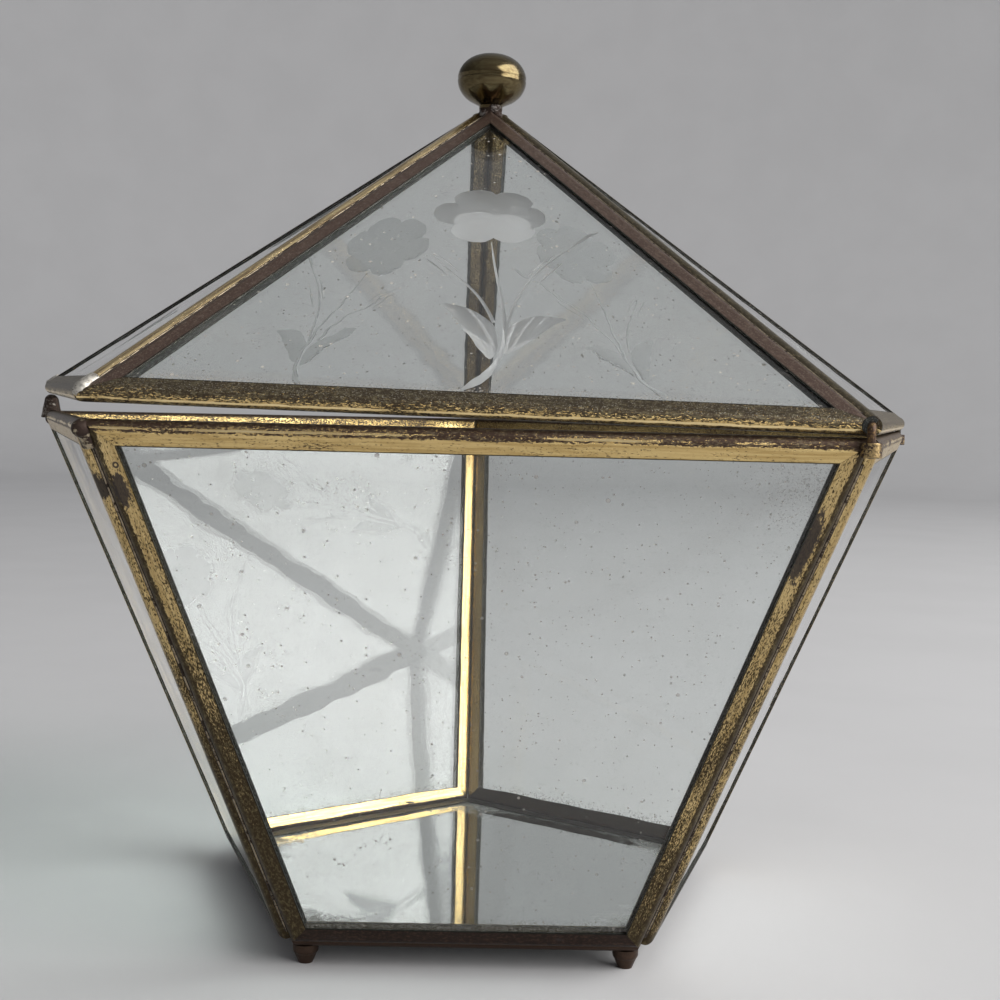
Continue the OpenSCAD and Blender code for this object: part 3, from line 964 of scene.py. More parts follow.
@dataclass(frozen=True)
class GlassFinish(Finish):
    """Clear old glass with a film of dust. A frosted one is where the wheel has cut it."""

    tint: Color = (0.955, 0.975, 0.968, 1)
    shade: Color = (0.86, 0.89, 0.88, 1)
    roughness: float = 0.0
    dust: float = 0.6

    def lay(self, name: str, place: Matrix, seed: float, foot: float, corner: Point) -> bpy.types.Material:
        """Makes the material for one pane.

        Args:
            name: Name of the material.
            place: Frame of the pane's panel.
            seed: Start of its pattern.
            foot: Height in the panel of the pane's lower edge.
            corner: Place in the panel of the corner that grime has gathered in.

        Returns:
            The material.
        """
        material, graph, at = self.start(name, place)
        where = (*corner, -0.25)
        film = graph.effect(DustFilm, Vector=at, Seed=seed, Foot=foot, Amount=self.dust, Corner=where)
        ripple = graph.noise(graph.stretched(at, 0.05, 0.09, 0.05), 1.0, 2)
        bump = graph.node("Bump", {"Strength": 1.0, "Distance": 0.05 * MM, "Height": ripple})
        glass = graph.node(
            "BsdfPrincipled",
            {
                "Base Color": self.tint,
                "Roughness": graph.math("MULTIPLY_ADD", film["Haze"], 0.04, self.roughness),
                "IOR": 1.45,
                "Transmission Weight": 1.0,
                "Normal": bump.outputs[0],
            },
        )
        dust = graph.node("BsdfPrincipled", {"Base Color": (0.33, 0.31, 0.28, 1), "Roughness": 0.85})
        surface = graph.node("MixShader", {0: film["Mask"], 1: glass.outputs[0], 2: dust.outputs[0]})
        lit = graph.node("BsdfTransparent", {"Color": self.shade})
        ray = graph.node("LightPath").outputs["Is Shadow Ray"]
        through = graph.node("MixShader", {0: ray, 1: surface.outputs[0], 2: lit.outputs[0]})
        graph.node("OutputMaterial", {"Surface": through.outputs[0]})
        return material


@dataclass(frozen=True)
class FrostFinish(Finish):
    """Glass left grey by the engraver's wheel, still half clear."""

    tint: Color = (0.90, 0.925, 0.93, 1)
    cloudy: Color = (0.82, 0.85, 0.86, 1)
    shade: Color = (0.82, 0.85, 0.85, 1)
    grey: float = 0.58

    def lay(self, name: str, place: Matrix) -> bpy.types.Material:
        """Makes the material for the cuts of one pane."""
        material, graph, at = self.start(name, place)
        grain = graph.noise(at, 5.0, 3, 0.7)
        cloud = graph.noise(at, 0.5, 3)
        bump = graph.node("Bump", {"Strength": 0.5, "Distance": 0.02 * MM, "Height": grain})
        glass = graph.node(
            "BsdfPrincipled",
            {
                "Base Color": graph.blend(graph.step(cloud, 0.3, 0.7), self.tint, self.cloudy),
                "Roughness": graph.math("MULTIPLY_ADD", cloud, 0.16, 0.36),
                "IOR": 1.45,
                "Transmission Weight": 0.84,
                "Alpha": graph.math("MULTIPLY_ADD", cloud, 0.12, self.grey),
                "Normal": bump.outputs[0],
            },
        )
        lit = graph.node("BsdfTransparent", {"Color": self.shade})
        ray = graph.node("LightPath").outputs["Is Shadow Ray"]
        through = graph.node("MixShader", {0: ray, 1: glass.outputs[0], 2: lit.outputs[0]})
        graph.node("OutputMaterial", {"Surface": through.outputs[0]})
        return material


@dataclass(frozen=True)
class MirrorFinish(Finish):
    """Old silvering, clouded and lost in spots towards its edges."""

    silver: Color = (0.80, 0.82, 0.81, 1)
    lost: Color = (0.05, 0.045, 0.04, 1)
    radius: float = 29.0

    def lay(self, name: str, place: Matrix) -> bpy.types.Material:
        """Makes the material for the floor's mirror."""
        material, graph, at = self.start(name, place)
        far = graph.node("VectorMath", {0: graph.stretched(at, 1, 1, 0)}, operation="LENGTH").outputs["Value"]
        cloud = graph.noise(at, 0.35, 4, 0.65, 0.5)
        edge = graph.math("MULTIPLY_ADD", cloud, 16.0, far)
        worn = graph.step(edge, self.radius + 5, self.radius + 11)
        spots = graph.step(graph.noise(at, 1.7, 3, 0.7), 0.66, 0.74)
        gone = graph.math("MAXIMUM", graph.math("MULTIPLY", worn, 0.8), graph.math("MULTIPLY", spots, 0.7), clamp=True)
        rough = graph.math("MULTIPLY_ADD", gone, 0.4, graph.math("MULTIPLY", cloud, 0.08))
        inputs = {
            "Base Color": graph.blend(gone, self.silver, self.lost),
            "Roughness": rough,
            "Metallic": graph.between(gone, 1.0, 0.4),
        }
        shader = graph.node("BsdfPrincipled", inputs)
        graph.node("OutputMaterial", {"Surface": shader.outputs[0]})
        return material


@dataclass(frozen=True)
class StudioFinish(Finish):
    """Matt card of the studio's floor and sweep, with painted shade where it lies close beneath the window, to even out
    its pool of light.
    """

    color: Color = (0.50, 0.50, 0.51, 1)
    grey: Color = (0.25, 0.25, 0.255, 1)
    window: tuple[float, float, float] = (1020.0, -414.0, 0.0)
    reach: float = 850.0

    def lay(self, name: str) -> bpy.types.Material:
        """Makes the card's material."""
        material, graph, at = self.start(name, Matrix.Identity(4))
        fibre = graph.noise(at, 0.02, 3)
        color = graph.blend(graph.step(fibre, 0.3, 0.7), self.color, tuple(0.97 * c for c in self.color[:3]) + (1,))
        away = graph.node("VectorMath", {0: at, 1: self.window}, operation="DISTANCE").outputs["Value"]
        # Painted shade: the card is greyer near the foot of the window light, to even out the pool of light it throws.
        color = graph.blend(graph.step(away, 150.0, self.reach), self.grey, color)
        shader = graph.node("BsdfPrincipled", {"Base Color": color, "Roughness": 0.9, "Specular IOR Level": 0.1})
        graph.node("OutputMaterial", {"Surface": shader.outputs[0]})
        return material


# ---- Sub-assemblies


@dataclass
class Assembly:
    """A part of the casket that is dressed or modelled together."""

    casket: Casket
    nodes: Mapping[str, bpy.types.Object]

    @staticmethod
    def dress(piece: bpy.types.Object, material: Optional[bpy.types.Material], slot: int = 0) -> None:
        """Puts a material in one of a piece's slots."""
        while len(piece.material_slots) <= slot:
            piece.data.materials.append(None)
        piece.material_slots[slot].material = material

    @staticmethod
    def fit(piece: bpy.types.Object, body: Body, slot: Slot, *nodes: str) -> None:
        """Makes a finished piece ride on a body and stand for CAD nodes.

        Args:
            piece: The piece, in its place.
            body: The body that it moves with.
            slot: The record's slot that its finish belongs to; it is not used.
            nodes: The nodes that it replaces.
        """
        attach(piece, body.value)
        if nodes:
            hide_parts(*nodes)
        LOG.info("%s: %d faces, rides on %s", piece.name, len(piece.data.polygons), body.value)


@dataclass
class Walls(Assembly):
    """The five glass walls, each in its frame of four channels."""

    glass: GlassFinish = GlassFinish()
    # The bottom channels are painted much darker than the others: painted shade and a painted dark reflection of the
    # ground below them.
    bottom: BrassFinish = BrassFinish(
        face=1.05,
        back=1.0,
        inner=0.12,
        blotch=0.5,
        bronze=(0.36, 0.24, 0.10, 1),
        brown=(0.022, 0.013, 0.010, 1),
        olive=(0.075, 0.042, 0.028, 1),
    )
    # The top channels carry the painted highlight line.
    top: BrassFinish = BrassFinish(face=0.34, back=0.85, inner=0.5, end=0.35, blotch=0.05, line=0.5, highlight_line_angle=62.0)
    post: BrassFinish = BrassFinish(
        face=0.42,
        back=0.54,
        inner=0.25,
        blotch=0.35,
        bright=(0.72, 0.54, 0.26, 1),
        bronze=(0.45, 0.315, 0.13, 1),
        brown=(0.040, 0.026, 0.010, 1),
        olive=(0.13, 0.10, 0.048, 1),
    )
    marks: ClassVar[Mapping[str, Mapping[str, Any]]] = {
        "front_left_came": {"blot": (-26.9, 1.35, 2.1), "ring": (-30.0, 1.75, 0.34), "back": 0.85, "fall": 0.55},
        "front_right_came": {"blot": (22.0, 1.9, 4.6), "back": 0.85, "fall": -0.2},
        "left_right_came": {"blot": (27.4, 0.55, 1.5), "back": 0.45, "fall": -0.5},
        "right_left_came": {"back": 0.40, "fall": 0.2},
        # Painted shade: the back-right bottom channel is painted darker still.
        "back_right_bottom_came": {"inner": 1.05, "back": 1.0, "bright": (0.30, 0.24, 0.12, 1)},
    }

    def dress_all(self) -> None:
        """Dresses the panes and their channels."""
        for side in Side:
            place = self.casket.wall_place(side)
            pane = self.nodes[f"{side.label}_glass"]
            ring = self.casket.wall_outline()
            corner = (ring[2][0] - 6.0, ring[2][1] - 6.0)
            foot = ring[0][1] + self.casket.came_w
            self.dress(pane, self.glass.lay(pane.name, place, side.value + 1.0, foot, corner))
            for edge, came in self.casket.wall_cames(side).items():
                finish = {"bottom": self.bottom, "top": self.top}.get(edge, self.post)
                finish = replace(finish, **self.marks.get(came.node, {}))
                self.dress(self.nodes[came.node], finish.lay(came, side.value * 4.0 + len(edge)))
        LOG.info("walls: %d panes dressed", len(Side))


@dataclass(frozen=True)
class Cut:
    """One cut of the engraver's wheel: its way over the pane, its width and its depth."""

    way: tuple[Point, ...]
    widths: tuple[float, ...]
    squash: float = 0.28
    lift: float = 0.45
    bevel: int = 5


@dataclass(frozen=True)
class Petal:
    """A petal of the bloom: its direction in degrees, its reach and its half width."""

    angle: float
    reach: float
    half: float

    def cut(self, centre: Point) -> Cut:
        """The wheel's cut for the petal, from the middle of the bloom outwards."""
        run = (math.cos(math.radians(self.angle)), math.sin(math.radians(self.angle)))
        steps = (-0.15, 0.15, 0.4, 0.65, 0.82, 0.95, 1.0)
        swell = (0.9, 0.97, 1.0, 1.0, 0.93, 0.76, 0.55)
        way = tuple((centre[0] + run[0] * self.reach * s, centre[1] + run[1] * self.reach * s) for s in steps)
        return Cut(way, tuple(self.half * w for w in swell), 0.13, 0.33)


@dataclass(frozen=True)
class Flower:
    """The engraved flower on a lid pane, drawn in the pane's own frame."""

    centre: Point = (0.4, 41.2)
    petals: tuple[Petal, ...] = (
        Petal(112, 7.0, 3.9),
        Petal(57, 7.1, 3.8),
        Petal(3, 6.9, 3.7),
        Petal(-52, 6.9, 3.8),
        Petal(-118, 6.7, 3.8),
        Petal(174, 7.1, 3.7),
    )
    stem: Cut = Cut(
        ((0.6, 35.6), (0.93, 31.4), (1.36, 27.3), (2.0, 22.1), (2.32, 16.8), (2.1, 12.8), (1.3, 9.9), (0.2, 8.0)),
        (0.08, 0.15, 0.18, 0.21, 0.25, 0.31, 0.36, 0.38),
        0.62,
        0.05,
        3,
    )
    tail: Cut = Cut(((1.3, 9.5), (0.5, 8.1), (-0.5, 6.8), (-2.0, 5.2)), (0.25, 0.55, 0.66, 0.3), 0.4, 0.1, 4)
    leaves: tuple[Cut, ...] = (
        Cut(
            ((-5.6, 21.6), (-3.9, 20.9), (-2.1, 19.3), (-0.5, 16.9), (0.45, 13.6), (0.9, 10.2)),
            (0.3, 0.75, 1.45, 1.85, 1.35, 0.35),
            0.18,
            0.1,
        ),
        Cut(
            ((10.4, 19.3), (8.0, 19.0), (5.9, 18.1), (4.1, 16.1), (2.95, 13.6), (2.1, 11.4)),
            (0.25, 0.8, 1.7, 1.9, 1.2, 0.3),
            0.18,
            0.1,
        ),
    )
    sprigs: tuple[Cut, ...] = (
        Cut(
            ((1.1, 18.0), (0.4, 20.4), (-0.7, 23.2), (-2.0, 25.5), (-3.5, 27.6), (-4.8, 29.5), (-6.4, 32.2)),
            (0.24, 0.24, 0.21, 0.18, 0.15, 0.13, 0.08),
            0.62,
            0.05,
            3,
        ),
        Cut(((-6.1, 32.2), (-4.5, 30.4), (-3.1, 28.4)), (0.1, 0.15, 0.1), 0.62, 0.05, 3),
        Cut(((-6.9, 30.8), (-5.6, 29.2), (-4.3, 27.3)), (0.1, 0.15, 0.1), 0.62, 0.05, 3),
        Cut(
            ((2.4, 16.2), (3.15, 20.9), (4.2, 24.6), (5.8, 28.4), (7.8, 31.7), (10.1, 34.8)),
            (0.2, 0.2, 0.18, 0.16, 0.14, 0.1),
            0.62,
            0.05,
            3,
        ),
        Cut(((9.9, 34.6), (11.2, 36.4), (12.2, 37.7), (13.4, 38.6)), (0.1, 0.3, 0.3, 0.1), 0.5, 0.05, 3),
        Cut(((4.9, 27.9), (6.4, 30.6), (8.1, 33.0)), (0.1, 0.16, 0.1), 0.62, 0.05, 3),
        Cut(((6.0, 26.3), (7.4, 28.7), (8.8, 31.1)), (0.1, 0.16, 0.1), 0.62, 0.05, 3),
    )

    def cuts(self) -> list[Cut]:
        """All the cuts of the flower."""
        bloom = [petal.cut(self.centre) for petal in self.petals]
        return [*bloom, self.stem, self.tail, *self.leaves, *self.sprigs]


@dataclass
class Lid(Assembly):
    """The five engraved lid panes, each in its frame of three channels."""

    glass: GlassFinish = GlassFinish(tint=(0.935, 0.955, 0.948, 1), dust=0.85)
    frost: FrostFinish = FrostFinish()
    flower: Flower = Flower()
    eave: BrassFinish = BrassFinish(
        face=0.80,
        back=0.80,
        inner=0.9,
        end=0.1,
        blotch=0.1,
        # The eaves carry the painted highlight line, near the back of their fold.
        line=0.62,
        highlight_line_angle=4.0,
        dust=0.75,
        brown=(0.050, 0.036, 0.021, 1),
        olive=(0.15, 0.125, 0.072, 1),
    )
    hip: BrassFinish = BrassFinish(
        face=0.98,
        back=0.80,
        inner=0.95,
        end=-0.2,
        blotch=0.0,
        dust=0.35,
        bright=(0.55, 0.42, 0.22, 1),
        bronze=(0.26, 0.18, 0.10, 1),
        brown=(0.085, 0.052, 0.040, 1),
        olive=(0.15, 0.105, 0.080, 1),
    )
    marks: ClassVar[Mapping[str, Mapping[str, Any]]] = {
        # Painted highlight: this hip gets a brighter brass and almost no patina, so it shows as a bright gold strip.
        "lid_left_right_hip_came": {"face": 0.12, "back": 0.2, "dust": 0.0, "bright": (0.86, 0.68, 0.38, 1)},
        "lid_back_left_left_hip_came": {"inner": 0.55, "brown": (0.055, 0.040, 0.022, 1), "olive": (0.17, 0.13, 0.07, 1)},
        "lid_back_right_right_hip_came": {"inner": 0.5, "brown": (0.065, 0.044, 0.024, 1), "olive": (0.19, 0.14, 0.075, 1)},
        "lid_right_left_hip_came": {"brown": (0.050, 0.040, 0.024, 1), "olive": (0.12, 0.10, 0.06, 1)},
    }

    def cutter(self) -> bpy.types.Object:
        """Models the flower once, as the shape that the wheel takes out of a pane."""
        cuts = []
        for cut in self.flower.cuts():
            stroke = Bench.stroke(cut.way, cut.widths, cut.bevel)
            with Bench.editing(stroke):
                bpy.ops.transform.resize(value=(1, 1, cut.squash), center_override=(0, 0, 0))
                face = -(self.casket.came_r - self.casket.glass_t / 2)
                bpy.ops.transform.translate(value=(0, 0, face + cut.lift))
            cuts.append(stroke)
        made = Bench.joined(cuts, "flower_cutter")
        with Bench.editing(made):
            bpy.ops.mesh.remove_doubles(threshold=0.0005)
            bpy.ops.mesh.normals_make_consistent(inside=False)
        return made

    def engraved(self) -> bpy.types.Object:
        """Models one pane in its own frame, with the flower cut in its outer face.

        Returns:
            The pane, its cut faces in the second material slot.
        """
        pane = Bench.copy_of_node(self.nodes["lid_front_glass"], "engraved_pane")
        pane.matrix_world = self.casket.lid_place(Side.FRONT).inverted()
        Bench.only(pane)
        bpy.ops.object.transform_apply(location=True, rotation=True, scale=True)
        with Bench.editing(pane):
            bpy.ops.mesh.dissolve_limited(angle_limit=math.radians(1))
        cutter = self.cutter()
        Bench.modify(pane, "BOOLEAN", operation="DIFFERENCE", object=cutter, solver="EXACT", use_self=True)
        bpy.data.objects.remove(cutter, do_unlink=True)
        for slot in (0, 1):
            self.dress(pane, None, slot)
        half, middle = self.casket.glass_t / 2, -self.casket.came_r
        with Bench.editing(pane):
            cut = Bench.select_faces(pane, lambda at, normal: self.is_cut(at, normal, middle, half))
            pane.active_material_index = 1
            bpy.ops.object.material_slot_assign()
        LOG.info("%s: %d cut faces", pane.name, cut)
        return pane

    def glaze(self, side: Side, model: bpy.types.Object) -> None:
        """Copies the engraved pane into one side of the lid.

        Args:
            side: The side of the lid.
            model: The pane in its own frame. The hinge side's copy is cut off short of the hinge wire.
        """
        node = self.nodes[f"lid_{side.label}_glass"]
        place = self.casket.lid_place(side)
        pane = bpy.data.objects.new(f"lid_{side.label}_engraved_pane", model.data.copy())
        pane.data.name = pane.name
        bpy.context.scene.collection.objects.link(pane)
        if side is Side.RIGHT:
            foot = min((place.inverted() @ (v.co / MM)).y for v in node.data.vertices)
            with Bench.editing(pane):
                bpy.ops.mesh.bisect(plane_co=(0, foot, 0), plane_no=(0, 1, 0), use_fill=True, clear_inner=True)
        self.dress(pane, self.glass.lay(pane.name, place, side.value + 7.0, 4.6, (0.0, -99.0)))
        self.dress(pane, self.frost.lay(pane.name + "_cuts", place), 1)
        Bench.place(pane, place)
        Bench.smooth(pane, 14)
        with Bench.editing(pane):
            bpy.ops.mesh.select_mode(type="FACE")
            bpy.ops.mesh.select_all(action="DESELECT")
            pane.active_material_index = 0
            bpy.ops.object.material_slot_select()
            bpy.ops.mesh.faces_shade_flat()
        self.fit(pane, Body.LID, Slot.CLEAR_GLASS, node.name)

    @staticmethod
    def is_cut(at: Vector, normal: Vector, middle: float, half: float) -> bool:
        """Says whether a face lies in a cut: below the outer face, above the inner one, and looking out."""
        return normal.z > 0.05 and middle - half + 0.01 < at.z < middle + half - 0.0005

    def dress_all(self) -> None:
        """Engraves the panes and dresses their channels."""
        model = self.engraved()
        for side in Side:
            self.glaze(side, model)
            for edge, came in self.casket.lid_cames(side).items():
                finish = replace(self.eave if edge == "eave" else self.hip, **self.marks.get(came.node, {}))
                self.dress(self.nodes[came.node], finish.lay(came, side.value * 3.0 + len(edge) + 0.5))
        bpy.data.objects.remove(model, do_unlink=True)


@dataclass
class Base(Assembly):
    """The mirror floor, its channels and the feet."""

    mirror: MirrorFinish = MirrorFinish()
    # The floor channel and feet are painted dark: painted shade and a painted dark reflection of the ground below them.
    brass: BrassFinish = BrassFinish(
        face=0.95, back=0.95, inner=0.95, end=0.0, blotch=0.5, bright=(0.30, 0.21, 0.10, 1), olive=(0.07, 0.04, 0.026, 1)
    )

    def dress_all(self) -> None:
        """Dresses the floor and the feet."""
        self.dress(self.nodes["mirror_floor"], self.mirror.lay("mirror_floor", self.casket.plan))
        for seed, name in enumerate(("floor_came", "feet")):
            plain = Came(name, self.casket.plan @ Matrix.Translation((0, 0, -1.5)), 400.0)
            self.dress(self.nodes[name], self.brass.lay(plain, 50.0 + seed))


@dataclass
class Hinge(Assembly):
    """The wire that the lid turns on, and the solder that holds its legs."""

    wire: BrassFinish = BrassFinish(
        face=0.8, back=0.8, inner=0.8, end=0.0, blotch=0.3, bright=(0.62, 0.40, 0.15, 1), olive=(0.20, 0.12, 0.05, 1)
    )
    solder: SolderFinish = SolderFinish(0.55, (0.40, 0.29, 0.14, 1))

    def dress_all(self) -> None:
        """Dresses the wire, and melts its solder."""
        plain = Came("hinge_wire", self.casket.plan, 400.0)
        self.dress(self.nodes["hinge_wire"], self.wire.lay(plain, 61.0))
        made = Bench.melted("hinge_melt", [Bench.copy_of_node(self.nodes["hinge_solder"], "hinge_melt")], 0.09, 0.08)
        self.dress(made, self.solder.lay("hinge_melt", self.casket.plan, 62.0))
        Bench.place(made, Matrix.Identity(4))
        Bench.smooth(made, 60)
        self.fit(made, Body.BOX, Slot.SOLDER, "hinge_solder")


@dataclass
class SolderWork(Assembly):
    """The seams and beads of solder that join the channels."""

    seam: SolderFinish = SolderFinish(0.8, (0.12, 0.095, 0.075, 1), (0.024, 0.016, 0.012, 1))
    ridge: SolderFinish = SolderFinish(0.40, (0.46, 0.38, 0.27, 1), (0.034, 0.021, 0.015, 1))
    rim: SolderFinish = SolderFinish(0.68, (0.44, 0.37, 0.26, 1))
    tip: SolderFinish = SolderFinish(0.34, (0.66, 0.63, 0.57, 1), (0.055, 0.038, 0.026, 1), 0.06, 2.2)
    bead: SolderFinish = SolderFinish(0.72, (0.30, 0.27, 0.24, 1), relief=0.1)

    def corner(self, k: int, reach: float, height: float) -> Vector:
        """Place at one corner of the plan, from its centre."""
        turn = math.radians(72 * k - 90 + 36)
        return Vector((reach * math.cos(turn), reach * math.sin(turn), height))

    def capped(self, name: str, caps: Sequence[bpy.types.Object], body: Body, finish: SolderFinish, seed: float) -> None:
        """Melts a node with more drops, and puts the result in its stead.

        Args:
            name: The node.
            caps: The drops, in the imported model's frame.
            body: The body that it rides on.
            finish: Its finish.
            seed: Start of its pattern.
        """
        copy = Bench.copy_of_node(self.nodes[name], name + "_melt")
        made = Bench.melted(name + "_melt", [copy, *caps])
        self.dress(made, finish.lay(made.name, self.casket.plan, seed))
        Bench.place(made, Matrix.Identity(4))
        Bench.smooth(made, 60)
        self.fit(made, body, Slot.SOLDER, name)

    def drops(self, place: Matrix, corners: Sequence[int], reach: float, height: float, radii: Sequence[float]) -> list:
        """Sets drops down at corners of the plan.

        Args:
            place: Frame of the plan.
            corners: Which corners.
            reach: Distance from the centre.
            height: Height of their middles.
            radii: Half sizes: outwards, sideways and up.

        Returns:
            The drops.
        """
        made = []
        for k in corners:
            at = place @ self.corner(k, reach, height)
            made.append(Bench.drop(at, radii, math.radians(72 * k - 90 + 36)))
        return made

    def post_edge(self, k: int) -> Matrix:
        """Frame of a corner post's edge, x up it and z outwards."""
        size, spread = self.casket, 2 * math.sin(math.radians(36))
        lean = math.atan((size.rim_side - size.floor_side) / spread / size.body_h)
        return (
            size.plan
            @ Matrix.Rotation(math.radians(72 * k - 90 + 36), 4, "Z")
            @ Matrix.Translation((size.floor_side / spread, 0, size.foot_h))
            @ Matrix.Rotation(lean, 4, "Y")
            @ Matrix(((0, 0, 1, 0), (0, -1, 0, 0), (1, 0, 0, 0), (0, 0, 0, 1)))
        )

    def hip_edge(self, k: int) -> Matrix:
        """Frame of a hip's edge, x down it and z outwards."""
        size = self.casket
        fall = math.atan(size.lid_h / (size.lid_base / (2 * math.sin(math.radians(36)))))
        return (
            size.lid_rest
            @ Matrix.Rotation(math.radians(72 * k - 90 + 36), 4, "Z")
            @ Matrix.Translation((0, 0, size.lid_z + size.lid_h))
            @ Matrix.Rotation(math.radians(90) + fall, 4, "Y")
            @ Matrix(((0, 0, -1, 0), (0, 1, 0, 0), (1, 0, 0, 0), (0, 0, 0, 1)))
        )

    def ridges(self, name: str, body: Body, edge: Callable[[int], Matrix], span: Point, depth: float) -> None:
        """Draws the thin ridges where solder ran along the five seams of one kind.

        Args:
            name: Name of the piece.
            body: The body that it rides on.
            edge: Frame of each edge.
            span: Where a ridge starts and ends along its edge.
            depth: How deep it lies below the edge.
        """
        chance = random.Random(name)
        made = []
        for k in range(5):
            count = int((span[1] - span[0]) / 1.3)
            way = [(span[0] + (span[1] - span[0]) * s / count, chance.gauss(0, 0.010)) for s in range(count + 1)]
            widths = [max(0.05, chance.gauss(0.115, 0.014)) for _ in way]
            ridge = Bench.stroke(way, [0.03, *widths[1:-1], 0.03], 2)
            Bench.place(ridge, edge(k) @ Matrix.Translation((0, 0, -depth)))
            made.append(ridge)
        piece = Bench.joined(made, name)
        Bench.smooth(piece, 60)
        self.dress(piece, self.ridge.lay(name, self.casket.plan, float(len(name))))
        self.fit(piece, body, Slot.SOLDER)

    def dress_all(self) -> None:
        """Dresses the seams and melts the beads."""
        size = self.casket
        for seed, name in enumerate(("post_solder", "base_solder", "hip_solder")):
            self.dress(self.nodes[name], self.seam.lay(name, size.plan, 70.0 + seed))
        (_, low), (_, high) = size.wall_outline()[1:3]
        span = ((low + size.came_r) / math.cos(size.wall_lean), (high - size.came_r) / math.cos(size.wall_lean) - 2.3)
        self.ridges("post_ridges", Body.BOX, self.post_edge, span, 1.17)
        lean = math.atan(size.lid_base / 2 / size.lid_slant)
        foot = (size.lid_slant - size.lid_outline()[0][1] - size.came_r) / math.cos(lean)
        self.ridges("hip_ridges", Body.LID, self.hip_edge, (2.4, foot - 2.3), 0.76)
        reach = (size.apothem(size.rim_side) - 1.4) / math.cos(math.radians(36))
        low = self.drops(size.plan, (0, 1, 3), reach, size.rim_z - 1.2, (1.05, 1.3, 1.0))
        high = self.drops(size.plan, (2, 4), reach, size.rim_z - 1.0, (1.05, 1.35, 1.05))
        self.capped("rim_solder", low + high, Body.BOX, self.rim, 74.0)
        eave = (size.eave_apothem - 1.05) / math.cos(math.radians(36))
        tips = self.drops(size.lid_rest, (2, 3, 4), eave, size.lid_z + 1.1, (1.05, 1.2, 0.9))
        self.capped("eave_solder", tips, Body.LID, self.tip, 75.0)
        self.capped("lid_rest_bead", [], Body.BOX, self.bead, 76.0)


@dataclass
class Knob(Assembly):
    """The flattened ball on the peak: two pressed halves with a fine line where they meet."""

    width: float = 9.4
    height: float = 7.0
    neck: float = 3.2
    neck_h: float = -0.3
    # The knob's brass is painted dark, so that its body reads as reflecting a dark room: painted shade. Its bright
    # highlight comes from the window light.
    brass: BrassFinish = BrassFinish(
        face=0.24,
        back=0.24,
        inner=0.24,
        end=0.0,
        blotch=0.15,
        bright=(0.150, 0.122, 0.064, 1),
        bronze=(0.085, 0.060, 0.030, 1),
        brown=(0.030, 0.020, 0.013, 1),
        olive=(0.06, 0.045, 0.03, 1),
        relief=0.012,
        polish=0.62,
    )
    solder: SolderFinish = SolderFinish(0.58, (0.20, 0.185, 0.175, 1), polish=2.2)

    def profile(self) -> list[Point]:
        """Half section of the knob, from the middle of its foot to the middle of its top."""
        middle, half = self.neck_h + self.height / 2, self.height / 2
        points: list[Point] = [(0, self.neck_h - 0.4), (self.neck / 2, self.neck_h - 0.4), (self.neck / 2, self.neck_h)]
        low = math.asin(max(-1.0, (self.neck_h + 0.45 - middle) / half))
        angles = [low + (math.pi / 2 - low) * k / 44 for k in range(45)]
        for angle in angles:
            r = self.width / 2 * math.cos(angle) ** 0.86 if math.cos(angle) > 1e-6 else 0.0
            line = 0.07 * math.exp(-((angle - 0.02) / 0.035) ** 2)
            points.append((max(0.0, r - line), middle + half * math.sin(angle)))
        points[-1] = (0.0, middle + half)
        return points

    def dress_all(self) -> None:
        """Turns the knob and dresses it."""
        place = self.casket.lid_rest @ Matrix.Translation((0, 0, self.casket.lid_z + self.casket.lid_h))
        made = Bench.turned("turned_knob", self.profile(), 72)
        Bench.place(made, place)
        Bench.smooth(made, 40)
        self.dress(made, self.brass.lay(Came("turned_knob", place, 0.0), 80.0))
        self.fit(made, Body.LID, Slot.BRASS, "knob")
        self.collar(place)

    def collar(self, place: Matrix) -> None:
        """Melts the small collar that holds the knob on the peak."""
        drops = [Bench.drop(Vector((0, 0, -0.9)), (1.6, 1.6, 1.5)), Bench.drop(Vector((0.2, -0.5, -0.6)), (1.3, 1.2, 0.9))]
        for k in range(5):
            turn = math.radians(72 * k - 90 + 36)
            drops.append(Bench.drop(Vector((1.7 * math.cos(turn), 1.7 * math.sin(turn), -1.7)), (0.9, 0.6, 0.55), turn))
        made = Bench.melted("peak_melt", drops, 0.09, 0.12)
        self.dress(made, self.solder.lay("peak_melt", place, 81.0))
        Bench.place(made, place)
        Bench.smooth(made, 60)
        self.fit(made, Body.LID, Slot.SOLDER, "peak_solder")


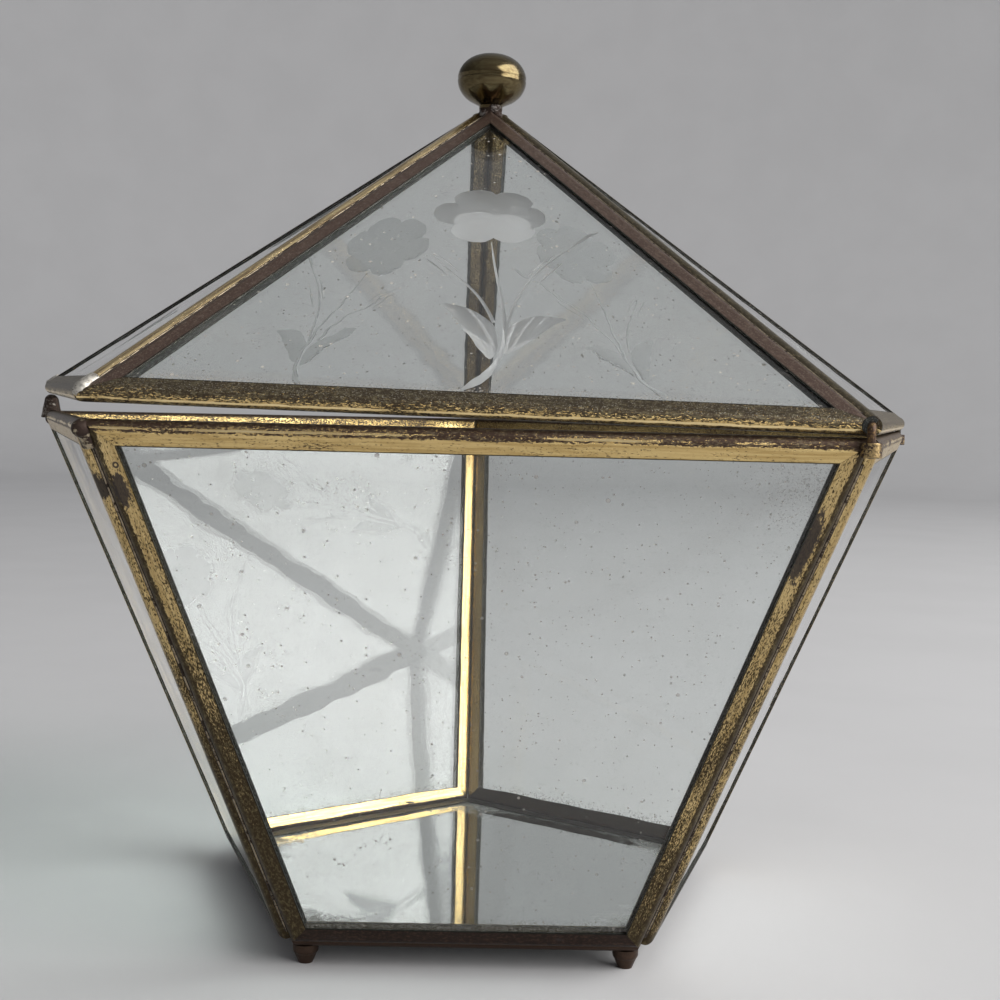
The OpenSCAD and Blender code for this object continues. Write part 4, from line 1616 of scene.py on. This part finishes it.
@dataclass(frozen=True)
class Studio:
    """Pale floor with an upswept edge, soft lights, and the camera at the photograph's angle."""

    card: StudioFinish = StudioFinish()
    eye: tuple[float, float, float] = (-0.9, -210.8, 68.5)
    turn: tuple[float, float, float] = (-3.59, -1.45, -1.2)
    lens: float = 52.83
    ambient: tuple[float, float] = (0.11, 0.46)

    def camera(self) -> None:
        """Sets up the camera."""
        data = bpy.data.cameras.new("camera")
        data.lens, data.sensor_width = self.lens, 36.0
        data.clip_start, data.clip_end = 0.01, 20.0
        camera = bpy.data.objects.new("camera", data)
        pitch, roll, yaw = (math.radians(angle) for angle in self.turn)
        camera.matrix_world = (
            Matrix.Translation(Vector(self.eye) * MM)
            @ Matrix.Rotation(yaw, 4, "Z")
            @ Matrix.Rotation(pitch, 4, "X")
            @ Matrix.Rotation(roll, 4, "Y")
            @ Matrix.Rotation(math.radians(90), 4, "X")
        )
        bpy.context.scene.collection.objects.link(camera)
        bpy.context.scene.camera = camera

    def sweep(self) -> None:
        """Models the round floor, whose edge curves up into a wall."""
        flat, bend, top = 1100.0, 420.0, 640.0
        arc = [
            (flat + bend * math.sin(math.radians(a)), bend * (1 - math.cos(math.radians(a)))) for a in range(0, 91, 6)
        ]
        outer = [(flat + bend + 20.0, top), (flat + bend + 20.0, -20.0), (0.0, -20.0)]
        made = Bench.turned("studio_sweep", [(0.0, 0.0), *arc, (flat + bend, top), *outer], 128)
        Bench.place(made, Matrix.Identity(4))
        Bench.smooth(made, 30)
        Assembly.dress(made, self.card.lay("studio_card"))

    @staticmethod
    def softbox(name: str, toward: Vector, size: Point, radiance: float, tint: tuple[float, float, float]) -> None:
        """Hangs a soft light that faces the casket.

        Args:
            name: Name of the light.
            toward: Its place from the middle of the casket, in metres.
            size: Its width and height, in metres.
            radiance: How bright its face looks.
            tint: Its colour.
        """
        data = bpy.data.lights.new(name, "AREA")
        data.shape = "RECTANGLE"
        data.size, data.size_y = size
        data.energy = radiance * math.pi * size[0] * size[1]
        data.color = tint
        light = bpy.data.objects.new(name, data)
        light.matrix_world = (
            Matrix.Translation(toward + Vector((0, 0, 0.06))) @ toward.to_track_quat("Z", "Y").to_matrix().to_4x4()
        )
        light.visible_camera = False
        bpy.context.scene.collection.objects.link(light)

    def lights(self) -> None:
        """Hangs the window-like softbox and sets the room's soft light."""
        side = Vector((0.786, -0.319, 0.533)).normalized()
        self.softbox("window", side * 1.15, (1.4, 1.05), 5.6, (1.0, 0.985, 0.96))
        world = bpy.data.worlds.new("studio")
        world.use_nodes = True
        graph = Graph(world.node_tree)
        around = graph.node("TexCoord").outputs["Generated"]
        facing = graph.node("VectorMath", {0: around, 1: tuple(side)}, operation="DOT_PRODUCT").outputs["Value"]
        level = graph.between(graph.step(facing, -0.7, 0.9), *self.ambient)
        glow = graph.node("Background", {"Color": (0.97, 0.98, 1.0, 1), "Strength": level})
        graph.node("OutputWorld", {"Surface": glow.outputs[0]})
        bpy.context.scene.world = world

    def build(self) -> None:
        """Builds the studio."""
        self.camera()
        self.sweep()
        self.lights()
        bpy.context.scene.view_settings.view_transform = "Standard"


def main() -> None:
    """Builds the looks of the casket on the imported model."""
    logging.basicConfig(level=logging.INFO, format="%(name)s: %(message)s", stream=sys.stdout)
    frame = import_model()
    casket, nodes = Casket(), frame["nodes"]
    Studio().build()
    for kind in (Walls, Lid, Base, Hinge, SolderWork, Knob):
        part = kind(casket, nodes)
        part.dress_all()
        LOG.info("%s done", kind.__name__)


if __name__ == "__main__":
    main()
